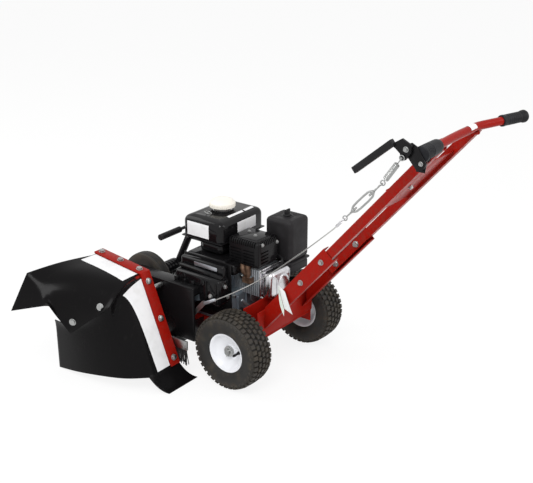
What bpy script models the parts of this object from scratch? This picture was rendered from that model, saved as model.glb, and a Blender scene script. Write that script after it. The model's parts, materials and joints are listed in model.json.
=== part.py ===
"""Walk-behind stump grinder, as an assembly of separate pieces.

Metres. While it is modelled, +X is the machine's right, +Y is forward, +Z is up, the ground is z = 0 and the
axle lies over y = 0. The last step moves the whole machine so that the origin is the middle of its footprint.
"""

import math

import bmesh
import bpy
from mathutils import Vector

GAP = 0.0003  # between faces that touch on the real machine

# ---- driving dimensions ----
# wheels and axle
WHEEL_RADIUS = 0.1143
WHEEL_WIDTH = 0.089
TRACK = 0.368
RIM_RADIUS = 0.0600
TYRE_WALL = 0.008
AXLE_RADIUS = 0.008
HUB_RADIUS = 0.0165
HUB_RECESS = 0.031
BEAD_DEPTH = 0.006  # the tyre's bead below the rim's flange
BEAD_SHARE = 0.70  # of the tyre's half width, where its beads sit

# deck and rear channel
AXLE_DROP = 0.018  # deck's underside to the axle's centre
DECK_THICKNESS = 0.005
DECK_TO_TYRE = 0.0095
DECK_REAR = -0.055
DECK_FRONT = 0.300
DECK_FLANGE = 0.030
CHANNEL_OVERHANG = 0.006  # of the rear channel past the deck's side
CHANNEL_DEPTH = 0.055
CHANNEL_HEIGHT = 0.087
CHANNEL_WALL = 0.004

# handle
ARM_HALF_SPACING = 0.090
ARM_TUBE = 0.0254
ARM_WALL = 0.002
ARM_ANGLE = math.radians(49.5)  # above level, rising rearwards
ARM_BOLT = (-0.173, 0.3356)  # y, z of the lower bracket bolt, on the arm's centre line
BRACKET_HEIGHT = 0.044
BRACKET_WALL = 0.003
BRACKET_LENGTH = 0.330
BAR_RADIUS = 0.0111
BAR_WALL = 0.002
BAR_HEIGHT = 0.808
GRIP_RADIUS = 0.0200
GRIP_LENGTH = 0.108
GRIP_TO_ARM = 0.0023
BAR_RIGHT = 0.285
BRACE_PLACE = 0.417  # along the arm from the lower bolt
BRACE_WIDTH = 0.034
BRACE_THICKNESS = 0.004

# engine
CRANK_Y = 0.170
CRANK_HEIGHT = 0.106  # above the deck
CRANK_RADIUS = 0.0125
BLOCK_LEFT = -0.100
BLOCK_RIGHT = 0.065
BLOCK_REAR = 0.070
BLOCK_FRONT = 0.250
BLOCK_HEIGHT = 0.195
BLOCK_WALL = 0.007
COVER_THICKNESS = 0.020
CYLINDER_LEFT = -0.040
CYLINDER_RIGHT = 0.055
CYLINDER_LENGTH = 0.070
CYLINDER_BOTTOM = 0.088  # above the deck
CYLINDER_HEIGHT = 0.080
FIN_COUNT = 6
FIN_DEPTH = 0.010
ROCKER_DEPTH = 0.036
MUFFLER_LEFT = -0.060
MUFFLER_WIDTH = 0.105
MUFFLER_REAR = 0.003
MUFFLER_DEPTH = 0.115
MUFFLER_BOTTOM = 0.175  # above the deck
MUFFLER_HEIGHT = 0.087
MUFFLER_WALL = 0.0015
CLEANER_LEFT = 0.0585
CLEANER_WIDTH = 0.095
CLEANER_REAR = -0.029
CLEANER_DEPTH = 0.098
CLEANER_BOTTOM = 0.130  # above the deck
CLEANER_BASE_HEIGHT = 0.033
CLEANER_HEIGHT = 0.170
TANK_LEFT = -0.080
TANK_WIDTH = 0.197
TANK_REAR = 0.1245
TANK_DEPTH = 0.150
TANK_LIFT = 0.027  # above the block
TANK_HEIGHT = 0.080
TANK_WALL = 0.0018
NECK_RADIUS = 0.026
NECK_HEIGHT = 0.018
CAP_RADIUS = 0.040
CAP_HEIGHT = 0.022
RECOIL_RADIUS = 0.100
RECOIL_DEPTH = 0.075

# belt drive
BELT_TO_DECK = 0.0125  # the belt's middle outside the deck's left side
BELT_WIDTH = 0.0127
BELT_THICKNESS = 0.008
PULLEY_WIDTH = 0.018
CRANK_PULLEY_RADIUS = 0.034
ROTOR_PULLEY_RADIUS = 0.045
IDLER_RADIUS = 0.019
IDLER_Y = 0.250
IDLER_LIFT = 0.0007
IDLER_PIVOT_AT = (0.185, 0.0127)  # y, and height above the deck
IDLER_TIP_AT = (0.120, 0.0842)
GUARD_WALL = 0.0015
UPPER_GUARD_REACH = 0.0135  # outside the belt's middle
LOWER_GUARD_REACH = 0.0395
TYRE_CLEARANCE = 0.006  # between the left tyre and the belt guard over it

# cutting head
ROTOR_Y = 0.350
ROTOR_LIFT = 0.0327  # above the deck
SHAFT_RADIUS = 0.0125
CUTTER_RADIUS = 0.105
CUTTER_THICKNESS = 0.012
CUTTER_TO_HEAD = 0.069
TOOTH_COUNT = 8
TOOTH_REACH = 0.017
SPINDLE_LENGTH = 0.061  # from the guard to the head plate's inner face
HEAD_THICKNESS = 0.004
STRIP_WIDTH = 0.050
STRIP_THICKNESS = 0.005
SHEET_THICKNESS = 0.003
# outer face of the clamping strip, as y, z points from the rear foot over the top to the front foot
ARCH = ((0.150, 0.050), (0.258, 0.318), (0.450, 0.340), (0.560, 0.050))

# gauge wheel
GAUGE_RADIUS = 0.087
GAUGE_WIDTH = 0.045
GAUGE_RIM_RADIUS = 0.048
GAUGE_TO_BELT = 0.0425
GAUGE_AXLE = (0.410, 0.200)
GAUGE_PIVOT_AT = (0.305, 0.0207)  # y, and height above the deck
GAUGE_HUB_RADIUS = 0.0275
GAUGE_ARM_X = 0.030
GAUGE_ARM_THICKNESS = 0.008
DEPTH_GRIP = (0.330, 0.363)
DEPTH_GRIP_END = -0.122

# clutch lever and linkage
LEVER_TO_BAR = 0.0062  # from the bar's left end to the lever's inner face
LEVER_THICKNESS = 0.009
LEVER_PIVOT = (-0.553, 0.818)
LEVER_ELBOW = (-0.522, 0.838)
LEVER_TIP = (-0.412, 0.741)
LEVER_WIDTH = 0.018
LINK_PIN = (-0.545, 0.797)
LINK_X = -0.2325
BRACKET_PLACE = 0.552  # of the lever's bracket, along the arm from the lower bolt
PIN_RADIUS = 0.005
SPRING_RADIUS = 0.0085
WIRE_RADIUS = 0.0016

# ---- worked-out places ----
DECK_HALF_WIDTH = (TRACK - WHEEL_WIDTH) / 2 - DECK_TO_TYRE
CHANNEL_HALF_WIDTH = DECK_HALF_WIDTH + CHANNEL_OVERHANG
BELT_X = -DECK_HALF_WIDTH - BELT_TO_DECK
UPPER_GUARD_LEFT = BELT_X - UPPER_GUARD_REACH
LOWER_GUARD_LEFT = BELT_X - LOWER_GUARD_REACH
HEAD_X = LOWER_GUARD_LEFT - SPINDLE_LENGTH
CUTTER_X = HEAD_X - CUTTER_TO_HEAD
GAUGE_X = BELT_X + GAUGE_TO_BELT
BAR_LEFT = -(ARM_HALF_SPACING + ARM_TUBE / 2 + GRIP_TO_ARM + GRIP_LENGTH)
LEVER_X = BAR_LEFT - LEVER_TO_BAR
AXLE_Z = WHEEL_RADIUS
DECK_TOP = AXLE_Z + AXLE_DROP + DECK_THICKNESS
SEAT = DECK_TOP + GAP
CRANK_Z = DECK_TOP + CRANK_HEIGHT
ARM_DIRECTION = Vector((-math.cos(ARM_ANGLE), math.sin(ARM_ANGLE)))
BLOCK_TOP = SEAT + BLOCK_HEIGHT
ROTOR_Z = DECK_TOP + ROTOR_LIFT
IDLER_Z = DECK_TOP + IDLER_LIFT
IDLER_PIVOT, IDLER_TIP, GAUGE_PIVOT = (
    (y, DECK_TOP + height) for y, height in (IDLER_PIVOT_AT, IDLER_TIP_AT, GAUGE_PIVOT_AT)
)
DIPSTICK = (-0.060, SEAT + 0.027, 0.010)  # x, z and stem radius of the oil filler

FINISHES = {
    "red_paint": ((0.45, 0.02, 0.015), 0.35, 0.0),
    "black_paint": ((0.012, 0.012, 0.013), 0.3, 0.0),
    "tyre_rubber": ((0.02, 0.02, 0.018), 0.8, 0.0),
    "sheet_rubber": ((0.015, 0.014, 0.014), 0.4, 0.0),
    "white_paint": ((0.8, 0.8, 0.8), 0.35, 0.0),
    "grip_rubber": ((0.02, 0.022, 0.025), 0.6, 0.0),
    "black_plastic": ((0.015, 0.015, 0.016), 0.45, 0.0),
    "white_plastic": ((0.85, 0.84, 0.8), 0.4, 0.0),
    "red_plastic": ((0.6, 0.02, 0.02), 0.4, 0.0),
    "bare_alloy": ((0.55, 0.57, 0.6), 0.35, 1.0),
    "grey_casting": ((0.35, 0.4, 0.45), 0.5, 0.6),
    "zinc_steel": ((0.65, 0.65, 0.63), 0.3, 1.0),
    "bristle": ((0.01, 0.01, 0.01), 0.9, 0.0),
}


# ---- modelling tools ----
def finish_material(name):
    """The named finish, made the first time it is asked for."""
    found = bpy.data.materials.get(name)
    if found:
        return found
    color, roughness, metallic = FINISHES[name]
    made = bpy.data.materials.new(name)
    made.use_nodes = True
    shader = made.node_tree.nodes["Principled BSDF"]
    shader.inputs["Base Color"].default_value = (*color, 1.0)
    shader.inputs["Roughness"].default_value = roughness
    shader.inputs["Metallic"].default_value = metallic
    return made


def along(axis, a, b, c):
    """A point from its place a along the axis and b, c across it, in X, Y, Z order."""
    return {"X": Vector((a, b, c)), "Y": Vector((b, a, c)), "Z": Vector((b, c, a))}[axis]


def box(low, high, rounding=0.0, steps=2):
    """A block between two corners, its edges rounded."""
    shape = bmesh.new()
    bmesh.ops.create_cube(shape, size=1.0)
    low, high = Vector(low), Vector(high)
    for vert in shape.verts:
        vert.co = Vector(low[i] + (vert.co[i] + 0.5) * (high[i] - low[i]) for i in range(3))
    if rounding:
        bmesh.ops.bevel(
            shape, geom=shape.edges[:], offset=rounding, segments=steps, profile=0.5, affect="EDGES"
        )
    return shape


def prism(axis, outline, start, end):
    """A closed outline, in the plane across the axis, extruded from start to end."""
    shape = bmesh.new()
    verts = [shape.verts.new(along(axis, start, *point)) for point in outline]
    face = shape.faces.new(verts)
    grown = bmesh.ops.extrude_face_region(shape, geom=[face])
    moved = [item for item in grown["geom"] if isinstance(item, bmesh.types.BMVert)]
    bmesh.ops.translate(shape, verts=moved, vec=along(axis, end - start, 0, 0))
    bmesh.ops.recalc_face_normals(shape, faces=shape.faces[:])
    return shape


def turned(axis, centre, profile, steps=24, turn=0.0):
    """A closed profile of (place along the axis, radius) points turned about the axis through centre."""
    shape = bmesh.new()
    rings = []
    for place, radius in profile:
        if radius == 0:
            rings.append([shape.verts.new(along(axis, place, *centre))])
            continue
        ring = []
        for i in range(steps):
            angle = turn + 2 * math.pi * i / steps
            b = centre[0] + radius * math.cos(angle)
            c = centre[1] + radius * math.sin(angle)
            ring.append(shape.verts.new(along(axis, place, b, c)))
        rings.append(ring)
    for ring, after in zip(rings, rings[1:] + rings[:1]):
        if len(ring) == 1 and len(after) == 1:
            continue
        for i in range(steps):
            j = (i + 1) % steps
            corners = [ring[i % len(ring)], ring[j % len(ring)], after[j % len(after)], after[i % len(after)]]
            shape.faces.new(list(dict.fromkeys(corners)))
    bmesh.ops.recalc_face_normals(shape, faces=shape.faces[:])
    return shape


def rod(axis, centre, radius, start, end, steps=16, turn=0.0):
    """A solid cylinder from start to end along the axis."""
    return turned(axis, centre, [(start, 0), (start, radius), (end, radius), (end, 0)], steps, turn)


def collar(axis, centre, inner, outer, start, end, steps=24):
    """A cylinder with a bore."""
    return turned(axis, centre, [(start, inner), (start, outer), (end, outer), (end, inner)], steps)


def piece(name, finish, shape, pivot=(0.0, 0.0, 0.0)):
    """A named piece of the machine from a shape, with its origin at the pivot."""
    pivot = Vector(pivot)
    bmesh.ops.translate(shape, verts=shape.verts[:], vec=-pivot)
    mesh = bpy.data.meshes.new(name)
    shape.to_mesh(mesh)
    shape.free()
    mesh.materials.append(finish_material(finish))
    made = bpy.data.objects.new(name, mesh)
    bpy.context.scene.collection.objects.link(made)
    made.location = pivot
    made.parent = MACHINE
    mesh.shade_smooth()
    mesh.set_sharp_from_angle(angle=math.radians(35))
    return made


def combine(target, operation, shapes):
    """Joins the shapes to the piece, or cuts them out of it."""
    for shape in shapes:
        mesh = bpy.data.meshes.new("tool")
        shape.to_mesh(mesh)
        shape.free()
        tool = bpy.data.objects.new("tool", mesh)
        bpy.context.scene.collection.objects.link(tool)
        modifier = target.modifiers.new("shape", "BOOLEAN")
        modifier.operation = operation
        modifier.object = tool
        modifier.use_hole_tolerant = True
        bpy.context.view_layer.update()
        evaluated = target.evaluated_get(bpy.context.evaluated_depsgraph_get())
        result = bpy.data.meshes.new_from_object(evaluated)
        target.modifiers.clear()
        target.data = result
        bpy.data.objects.remove(tool)
    target.data.shade_smooth()
    target.data.set_sharp_from_angle(angle=math.radians(35))
    return target


def join(target, *shapes):
    return combine(target, "UNION", shapes)


def cut(target, *shapes):
    return combine(target, "DIFFERENCE", shapes)


def offset_path(points, distance):
    """The open path moved sideways, to the left of its direction, with mitred corners."""
    points = [Vector(p) for p in points]
    moved = []
    for i, point in enumerate(points):
        sides = []
        if i > 0:
            sides.append((point - points[i - 1]).normalized())
        if i < len(points) - 1:
            sides.append((points[i + 1] - point).normalized())
        normals = [Vector((-d.y, d.x)) for d in sides]
        middle = sum(normals, Vector((0, 0))).normalized()
        moved.append(point + middle * (distance / middle.dot(normals[0])))
    return moved


def disc_outline(centre, radius, steps=16):
    """Points round a circle."""
    turns = (2 * math.pi * i / steps for i in range(steps))
    return [(centre[0] + radius * math.cos(t), centre[1] + radius * math.sin(t)) for t in turns]


def swept(name, finish, points, radius, wall=0.0, pivot=(0.0, 0.0, 0.0), steps=3):
    """A round bar, or a tube with a wall, along points."""
    curve = bpy.data.curves.new(name, "CURVE")
    curve.dimensions = "3D"
    curve.bevel_depth = radius - wall / 2
    curve.bevel_resolution = steps
    curve.use_fill_caps = wall == 0
    spline = curve.splines.new("POLY")
    spline.points.add(len(points) - 1)
    for slot, point in zip(spline.points, points):
        slot.co = (*(Vector(point) - Vector(pivot)), 1.0)
    made = bpy.data.objects.new(name, curve)
    bpy.context.scene.collection.objects.link(made)
    bpy.context.view_layer.update()
    mesh = bpy.data.meshes.new_from_object(made.evaluated_get(bpy.context.evaluated_depsgraph_get()))
    bpy.data.objects.remove(made)
    shape = bmesh.new()
    shape.from_mesh(mesh)
    bmesh.ops.remove_doubles(shape, verts=shape.verts[:], dist=1e-6)
    bmesh.ops.recalc_face_normals(shape, faces=shape.faces[:])
    shape.to_mesh(mesh)
    shape.free()
    mesh.materials.clear()
    mesh.materials.append(finish_material(finish))
    made = bpy.data.objects.new(name, mesh)
    bpy.context.scene.collection.objects.link(made)
    made.location = pivot
    made.parent = MACHINE
    mesh.shade_smooth()
    if wall:
        thicken = made.modifiers.new("wall", "SOLIDIFY")
        thicken.thickness = wall
        thicken.offset = 0
    return made


def smooth_path(points, per_stretch=6):
    """A smooth curve through the points."""
    points = [Vector(p) for p in points]
    ends = [2 * points[0] - points[1], *points, 2 * points[-1] - points[-2]]
    path = []
    for a, b, c, d in zip(ends, ends[1:], ends[2:], ends[3:]):
        for i in range(per_stretch):
            t = i / per_stretch
            path.append(
                0.5 * (2 * b + (c - a) * t + (2 * a - 5 * b + 4 * c - d) * t**2 + (3 * b - a - 3 * c + d) * t**3)
            )
    return path + [points[-1]]


def sheet(name, finish, rows, hung_rows=()):
    """A sheet of rubber through a grid of points, flat in its first column, with more rows hung from row 0."""
    shape = bmesh.new()
    crease = shape.edges.layers.float.new("crease_edge")
    grid = [[shape.verts.new(point) for point in row] for row in rows]
    for row, after in zip(grid, grid[1:]):
        for i in range(len(row) - 1):
            shape.faces.new((row[i], row[i + 1], after[i + 1], after[i]))
    edge = grid[0]
    for row in hung_rows:
        hung = [shape.verts.new(point) for point in row]
        for i in range(len(hung) - 1):
            shape.faces.new((edge[i + 1], edge[i], hung[i], hung[i + 1]))
        edge = hung
    folds = [(row[1], after[1]) for row, after in zip(grid, grid[1:])]
    folds += list(zip(grid[0], grid[0][1:]))
    for a, b in folds:
        shape.edges.get((a, b))[crease] = 1.0
    made = piece(name, finish, shape)
    soften = made.modifiers.new("bend", "SUBSURF")
    soften.levels = soften.render_levels = 1
    soften.boundary_smooth = "PRESERVE_CORNERS"
    thicken = made.modifiers.new("wall", "SOLIDIFY")
    thicken.thickness = SHEET_THICKNESS
    thicken.offset = 0
    return made


# ---- wheels ----
def tyre(name, x, y, z, radius, width, rim_radius, wall):
    """A hollow tyre, open towards its rim, with a square-shouldered tread."""
    half = width / 2
    bead = rim_radius - BEAD_DEPTH
    beside = BEAD_SHARE * half
    outside = [(-beside, bead), (-beside, rim_radius + GAP), (-half, (radius + rim_radius) / 2)]
    outside += [(-0.80 * half, radius)]
    outside += [(-place, r) for place, r in reversed(outside)]
    inside = [(beside - wall, bead), (0.80 * half - wall, radius - wall)]
    inside += [(-place, r) for place, r in reversed(inside)]
    profile = [(x + place, r) for place, r in outside + inside]
    return piece(name, "tyre_rubber", turned("X", (y, z), profile, 32), (x, y, z))


def rim(name, side, x):
    """A dished disc rim with its hub recessed on the outer side."""
    half = WHEEL_WIDTH / 2
    bore = AXLE_RADIUS + GAP
    hub = half - HUB_RECESS
    seat = RIM_RADIUS - BEAD_DEPTH - GAP
    edge = half * BEAD_SHARE + GAP
    profile = [
        (hub - 0.050, bore), (hub - 0.050, HUB_RADIUS), (hub - 0.010, HUB_RADIUS), (hub - 0.006, seat - 0.014),
        (-edge - 0.0015, seat - 0.003), (-edge - 0.002, RIM_RADIUS), (-edge, RIM_RADIUS), (-edge, seat),
        (edge, seat), (edge, RIM_RADIUS), (edge + 0.002, RIM_RADIUS), (edge + 0.001, seat - 0.002),
        (hub, seat - 0.014), (hub - 0.004, HUB_RADIUS + 0.006), (hub, HUB_RADIUS), (hub, bore),
    ]  # fmt: skip
    profile = [(x + side * place, r) for place, r in profile]
    return piece(name, "white_paint", turned("X", (0, AXLE_Z), profile, 24), (x, 0, AXLE_Z))


def wheels():
    for name, side in (("left", -1), ("right", 1)):
        x = side * TRACK / 2
        tyre(f"{name}_tyre", x, 0, AXLE_Z, WHEEL_RADIUS, WHEEL_WIDTH, RIM_RADIUS, TYRE_WALL)
        rim(f"{name}_rim", side, x)
    hub_face = TRACK / 2 + WHEEL_WIDTH / 2 - HUB_RECESS
    end = hub_face + 0.016
    axle = piece("axle", "zinc_steel", rod("X", (0, AXLE_Z), AXLE_RADIUS, -end, end))
    for side in (-1, 1):
        nut = rod("X", (0, AXLE_Z), 0.013, side * (hub_face + GAP), side * (hub_face + 0.010), 6)
        join(axle, nut)


# ---- chassis ----
def deck():
    bottom = DECK_TOP - DECK_THICKNESS - DECK_FLANGE
    w, t = DECK_HALF_WIDTH, DECK_THICKNESS
    outline = [(-w, bottom), (-w, DECK_TOP), (w, DECK_TOP), (w, bottom)]
    outline += [(w - t, bottom), (w - t, DECK_TOP - t), (-w + t, DECK_TOP - t), (-w + t, bottom)]
    plate = piece("deck_plate", "red_paint", prism("Y", outline, DECK_REAR, DECK_FRONT))
    cut(plate, rod("X", (0, AXLE_Z), AXLE_RADIUS + GAP, -w - t, w + t))
    y, z = GAUGE_PIVOT
    lug_x = GAUGE_ARM_X + GAUGE_ARM_THICKNESS + GAP
    join(
        plate,
        box((lug_x, y - 0.022, DECK_TOP - t / 2), (lug_x + 0.006, y + 0.014, z + 0.014)),
        rod("X", GAUGE_PIVOT, PIN_RADIUS, GAUGE_ARM_X - 0.004, lug_x + 0.002, 12),
    )


def rear_channel():
    y0, y1 = DECK_REAR, DECK_REAR + CHANNEL_DEPTH
    z0, z1, t = SEAT, SEAT + CHANNEL_HEIGHT, CHANNEL_WALL
    outline = [(y0, z0), (y1, z0), (y1, z1), (y1 - t, z1), (y1 - t, z0 + t), (y0 + t, z0 + t), (y0 + t, z1)]
    outline += [(y0, z1)]
    piece(
        "rear_channel", "red_paint", prism("X", outline, -CHANNEL_HALF_WIDTH, CHANNEL_HALF_WIDTH)
    )


def arm_point(distance):
    """The arm's centre line, as y, z, at a distance up from the lower bolt."""
    return Vector(ARM_BOLT) + ARM_DIRECTION * distance


def arm_outline(start, end, height):
    """A straight stretch of arm whose lower end stands upright against the rear channel."""
    up = Vector((ARM_DIRECTION.y, -ARM_DIRECTION.x)) * (height / 2)
    foot = DECK_REAR - GAP
    low = []
    for side in (up, -up):
        point = arm_point(start) + side
        reach = (foot - point.x) / ARM_DIRECTION.x
        low.append(point + ARM_DIRECTION * reach)
    return [low[0], arm_point(end) + up, arm_point(end) - up, low[1]]


def bar_point(x):
    """The handlebar's centre line: level, with each end swept rearwards."""
    middle = -0.574
    sweep = 0.055 * max(0.0, -x - 0.02) if x < 0 else 0.30 * max(0.0, x - 0.095)
    return Vector((x, middle - sweep, BAR_HEIGHT))


def handle():
    bolt_to_foot = (Vector(ARM_BOLT) - Vector((DECK_REAR, 0))).x / ARM_DIRECTION.x
    reach = (bar_point(0).y - ARM_BOLT[0]) / ARM_DIRECTION.x
    for name, side in (("left", -1), ("right", 1)):
        x = side * ARM_HALF_SPACING
        outer = x + side * (ARM_TUBE / 2 + GAP + BRACKET_WALL)
        inner = x - side * (ARM_TUBE / 2 - 0.004)
        top = BRACKET_LENGTH - bolt_to_foot
        channel = prism("X", arm_outline(0, top, BRACKET_HEIGHT), outer, inner)
        hollow = arm_outline(0, top + 0.05, BRACKET_HEIGHT - 2 * BRACKET_WALL)
        hollow[0] = hollow[0] - ARM_DIRECTION * 0.05
        hollow[-1] = hollow[-1] - ARM_DIRECTION * 0.05
        bracket = piece(f"{name}_handle_bracket", "red_paint", channel)
        cut(bracket, prism("X", hollow, outer - side * BRACKET_WALL, inner - side * 0.01))
        up = Vector((ARM_DIRECTION.y, -ARM_DIRECTION.x)) * (ARM_TUBE / 2)
        low, high = arm_point(-0.030), arm_point(reach)
        tube = [low + up, high + up, high - up, low - up]
        arm = piece(
            f"{name}_arm_tube",
            "red_paint",
            prism("X", tube, x - ARM_TUBE / 2, x + ARM_TUBE / 2),
        )
        up = up * (1 - 2 * ARM_WALL / ARM_TUBE)
        low, high = arm_point(-0.05), arm_point(reach + 0.02)
        hollow = [low + up, high + up, high - up, low - up]
        half = ARM_TUBE / 2 - ARM_WALL
        bar = bar_point(x)
        cut(
            arm,
            prism("X", hollow, x - half, x + half),
            rod("X", (bar.y, bar.z), BAR_RADIUS + 6 * GAP, x - ARM_TUBE, x + ARM_TUBE, 24),
        )
    stops = [BAR_LEFT, -0.02, 0.06, 0.085, 0.095, 0.105, 0.125, BAR_RIGHT]
    swept("handlebar_tube", "red_paint", [bar_point(x) for x in stops], BAR_RADIUS, BAR_WALL, steps=4)
    for name, end, direction in (("left_grip", BAR_LEFT, 1), ("right_grip", BAR_RIGHT, -1)):
        grip(name, end, direction)
    centre = arm_point(BRACE_PLACE)
    across, up = ARM_DIRECTION * (BRACE_WIDTH / 2), Vector((ARM_DIRECTION.y, -ARM_DIRECTION.x))
    t = up * BRACE_THICKNESS
    half = ARM_HALF_SPACING - ARM_TUBE / 2 - GAP
    plate = [centre - across, centre + across, centre + across + t, centre - across + t]
    brace = piece("cross_brace", "red_paint", prism("X", plate, -half, half))
    leg = [centre - across, centre - across + t / BRACE_THICKNESS * 0.02]
    leg += [p + ARM_DIRECTION * BRACE_THICKNESS for p in reversed(leg)]
    join(brace, prism("X", leg, -half, half))


def grip(name, end, direction):
    """A closed-end rubber grip over the handlebar's end, thicker at its inner end on the left."""
    axis = (bar_point(end + direction * GRIP_LENGTH) - bar_point(end)).normalized()
    outer = GRIP_RADIUS if direction > 0 else GRIP_RADIUS * 0.86
    bore = BAR_RADIUS + GAP
    profile = [(-0.004, 0), (-0.004, outer - 0.004), (0, outer), (GRIP_LENGTH - 0.003, outer)]
    profile += [(GRIP_LENGTH, outer - 0.003), (GRIP_LENGTH, bore), (-GAP, bore), (-GAP, 0)]
    shape = turned("X", (0, 0), profile, 20)
    turn = Vector((1, 0, 0)).rotation_difference(axis).to_matrix()
    bmesh.ops.rotate(shape, verts=shape.verts[:], cent=(0, 0, 0), matrix=turn)
    bmesh.ops.translate(shape, verts=shape.verts[:], vec=bar_point(end))
    return piece(name, "grip_rubber", shape)


# ---- engine ----
def engine():
    crank = (CRANK_Y, CRANK_Z)
    block = piece(
        "engine_block",
        "grey_casting",
        box((BLOCK_LEFT, BLOCK_REAR, SEAT), (BLOCK_RIGHT, BLOCK_FRONT, BLOCK_TOP), 0.008, 2),
    )
    w = BLOCK_WALL
    step_y = MUFFLER_REAR + MUFFLER_DEPTH + 0.004
    step_z = DECK_TOP + MUFFLER_BOTTOM - 0.004
    cut(
        block,
        box((BLOCK_LEFT - w, BLOCK_REAR - w, step_z), (BLOCK_RIGHT + w, step_y, BLOCK_TOP + w)),
        box(
            (BLOCK_LEFT + w, BLOCK_REAR + w, SEAT + w),
            (BLOCK_RIGHT + w, BLOCK_FRONT - w, step_z - w),
        ),
        box(
            (BLOCK_LEFT + w, step_y + w, SEAT + 2 * w),
            (BLOCK_RIGHT + 2 * w, BLOCK_FRONT - 1.2 * w, BLOCK_TOP - w),
        ),
        rod("X", crank, CRANK_RADIUS + GAP, BLOCK_LEFT - w, BLOCK_LEFT + 2 * w, 24),
        rod("Y", (DIPSTICK[0], DIPSTICK[1]), DIPSTICK[2] + GAP, BLOCK_REAR - w, BLOCK_REAR + 2 * w, 16),
    )
    cover = piece(
        "crankcase_cover",
        "bare_alloy",
        box(
            (BLOCK_RIGHT + GAP, BLOCK_REAR, SEAT),
            (BLOCK_RIGHT + COVER_THICKNESS, BLOCK_FRONT, BLOCK_TOP),
            0.006,
            1,
        ),
    )
    cut(cover, rod("X", crank, CRANK_RADIUS + GAP, BLOCK_RIGHT - w, BLOCK_RIGHT + 0.05, 24))
    cylinder()
    exhaust()
    intake()
    fuel_tank()
    starter()
    controls()


def cylinder():
    """The finned barrel and head behind the crankcase, and the cover on its end."""
    y1 = BLOCK_REAR - GAP
    y0 = y1 - CYLINDER_LENGTH + 2 * GAP
    z0 = DECK_TOP + CYLINDER_BOTTOM
    z1 = z0 + CYLINDER_HEIGHT
    core = FIN_DEPTH
    barrel = piece(
        "cylinder",
        "bare_alloy",
        box((CYLINDER_LEFT + core, y0, z0 + core), (CYLINDER_RIGHT - core, y1, z1 - core)),
    )
    pitch = (y1 - y0) / FIN_COUNT
    fins = []
    for i in range(FIN_COUNT):
        y = y0 + pitch * (i + 0.25)
        fins.append(box((CYLINDER_LEFT, y, z0), (CYLINDER_RIGHT, y + pitch * 0.4, z1)))
    join(barrel, *fins)
    cut(barrel, rod("Y", ((CYLINDER_LEFT + CYLINDER_RIGHT) / 2, (z0 + z1) / 2), 0.026, y0 - 0.01, y1 + 0.01))
    cap_y1 = y0 - GAP
    wall = 0.006
    rocker = piece(
        "rocker_cover",
        "zinc_steel",
        box((CYLINDER_LEFT, cap_y1 - ROCKER_DEPTH, z0), (CYLINDER_RIGHT, cap_y1 + 2 * wall, z1), 0.009, 2),
    )
    cut(
        rocker,
        box(
            (CYLINDER_LEFT + wall, cap_y1 - ROCKER_DEPTH + wall, z0 + wall),
            (CYLINDER_RIGHT - wall, cap_y1 + 3 * wall, z1 - wall),
        ),
        box((CYLINDER_LEFT - wall, cap_y1, z0 - wall), (CYLINDER_RIGHT + wall, cap_y1 + 4 * wall, z1 + wall)),
    )


def exhaust():
    """The muffler with its down pipe, and the louvred guard round it."""
    t, clear = MUFFLER_WALL, 0.004
    x0, x1 = MUFFLER_LEFT, MUFFLER_LEFT + MUFFLER_WIDTH
    y0, y1 = MUFFLER_REAR, MUFFLER_REAR + MUFFLER_DEPTH
    z0 = DECK_TOP + MUFFLER_BOTTOM
    z1 = z0 + MUFFLER_HEIGHT
    guard = piece("muffler_guard", "black_paint", box((x0, y0, z0), (x1, y1, z1), 0.010, 2))
    cut(guard, box((x0 + t, y0 + t, z0 - 0.02), (x1 - t, y1 - t, z1 - t), 0.0092, 2))
    for side in range(2):
        for row in range(4):
            y = y0 + 0.016 + side * (MUFFLER_DEPTH / 2 - 0.008)
            z = z0 + 0.018 + row * 0.013
            cut(guard, box((x0 - 0.01, y, z), (x0 + 0.01, y + MUFFLER_DEPTH / 2 - 0.024, z + 0.004)))
    inner = t + GAP + 0.0004
    body = piece(
        "muffler",
        "black_paint",
        box((x0 + clear + 0.003, y0 + clear, z0 + 0.006), (x1 - clear, y1 - clear, z1 - inner), 0.011, 1),
    )
    cut(
        body,
        box(
            (x0 + clear + 0.005, y0 + clear + 0.002, z0 + 0.008),
            (x1 - clear - 0.002, y1 - clear - 0.002, z1 - inner - 0.002),
            0.0105,
            1,
        ),
        rod("Y", (x0 + 0.025, z1 - 0.030), 0.006, y0, y0 + 0.02, 12),
    )
    pipe_x, pipe_y = CYLINDER_LEFT - 0.0095, y0 + 0.045
    port_z = z0 - 0.042
    join(
        body,
        rod("Z", (pipe_x, pipe_y), 0.008, port_z, z0 + 0.007, 12),
        box((pipe_x - 0.009, pipe_y - 0.016, port_z - 0.006), (CYLINDER_LEFT - GAP, pipe_y + 0.016, port_z + 0.012)),
    )


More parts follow.
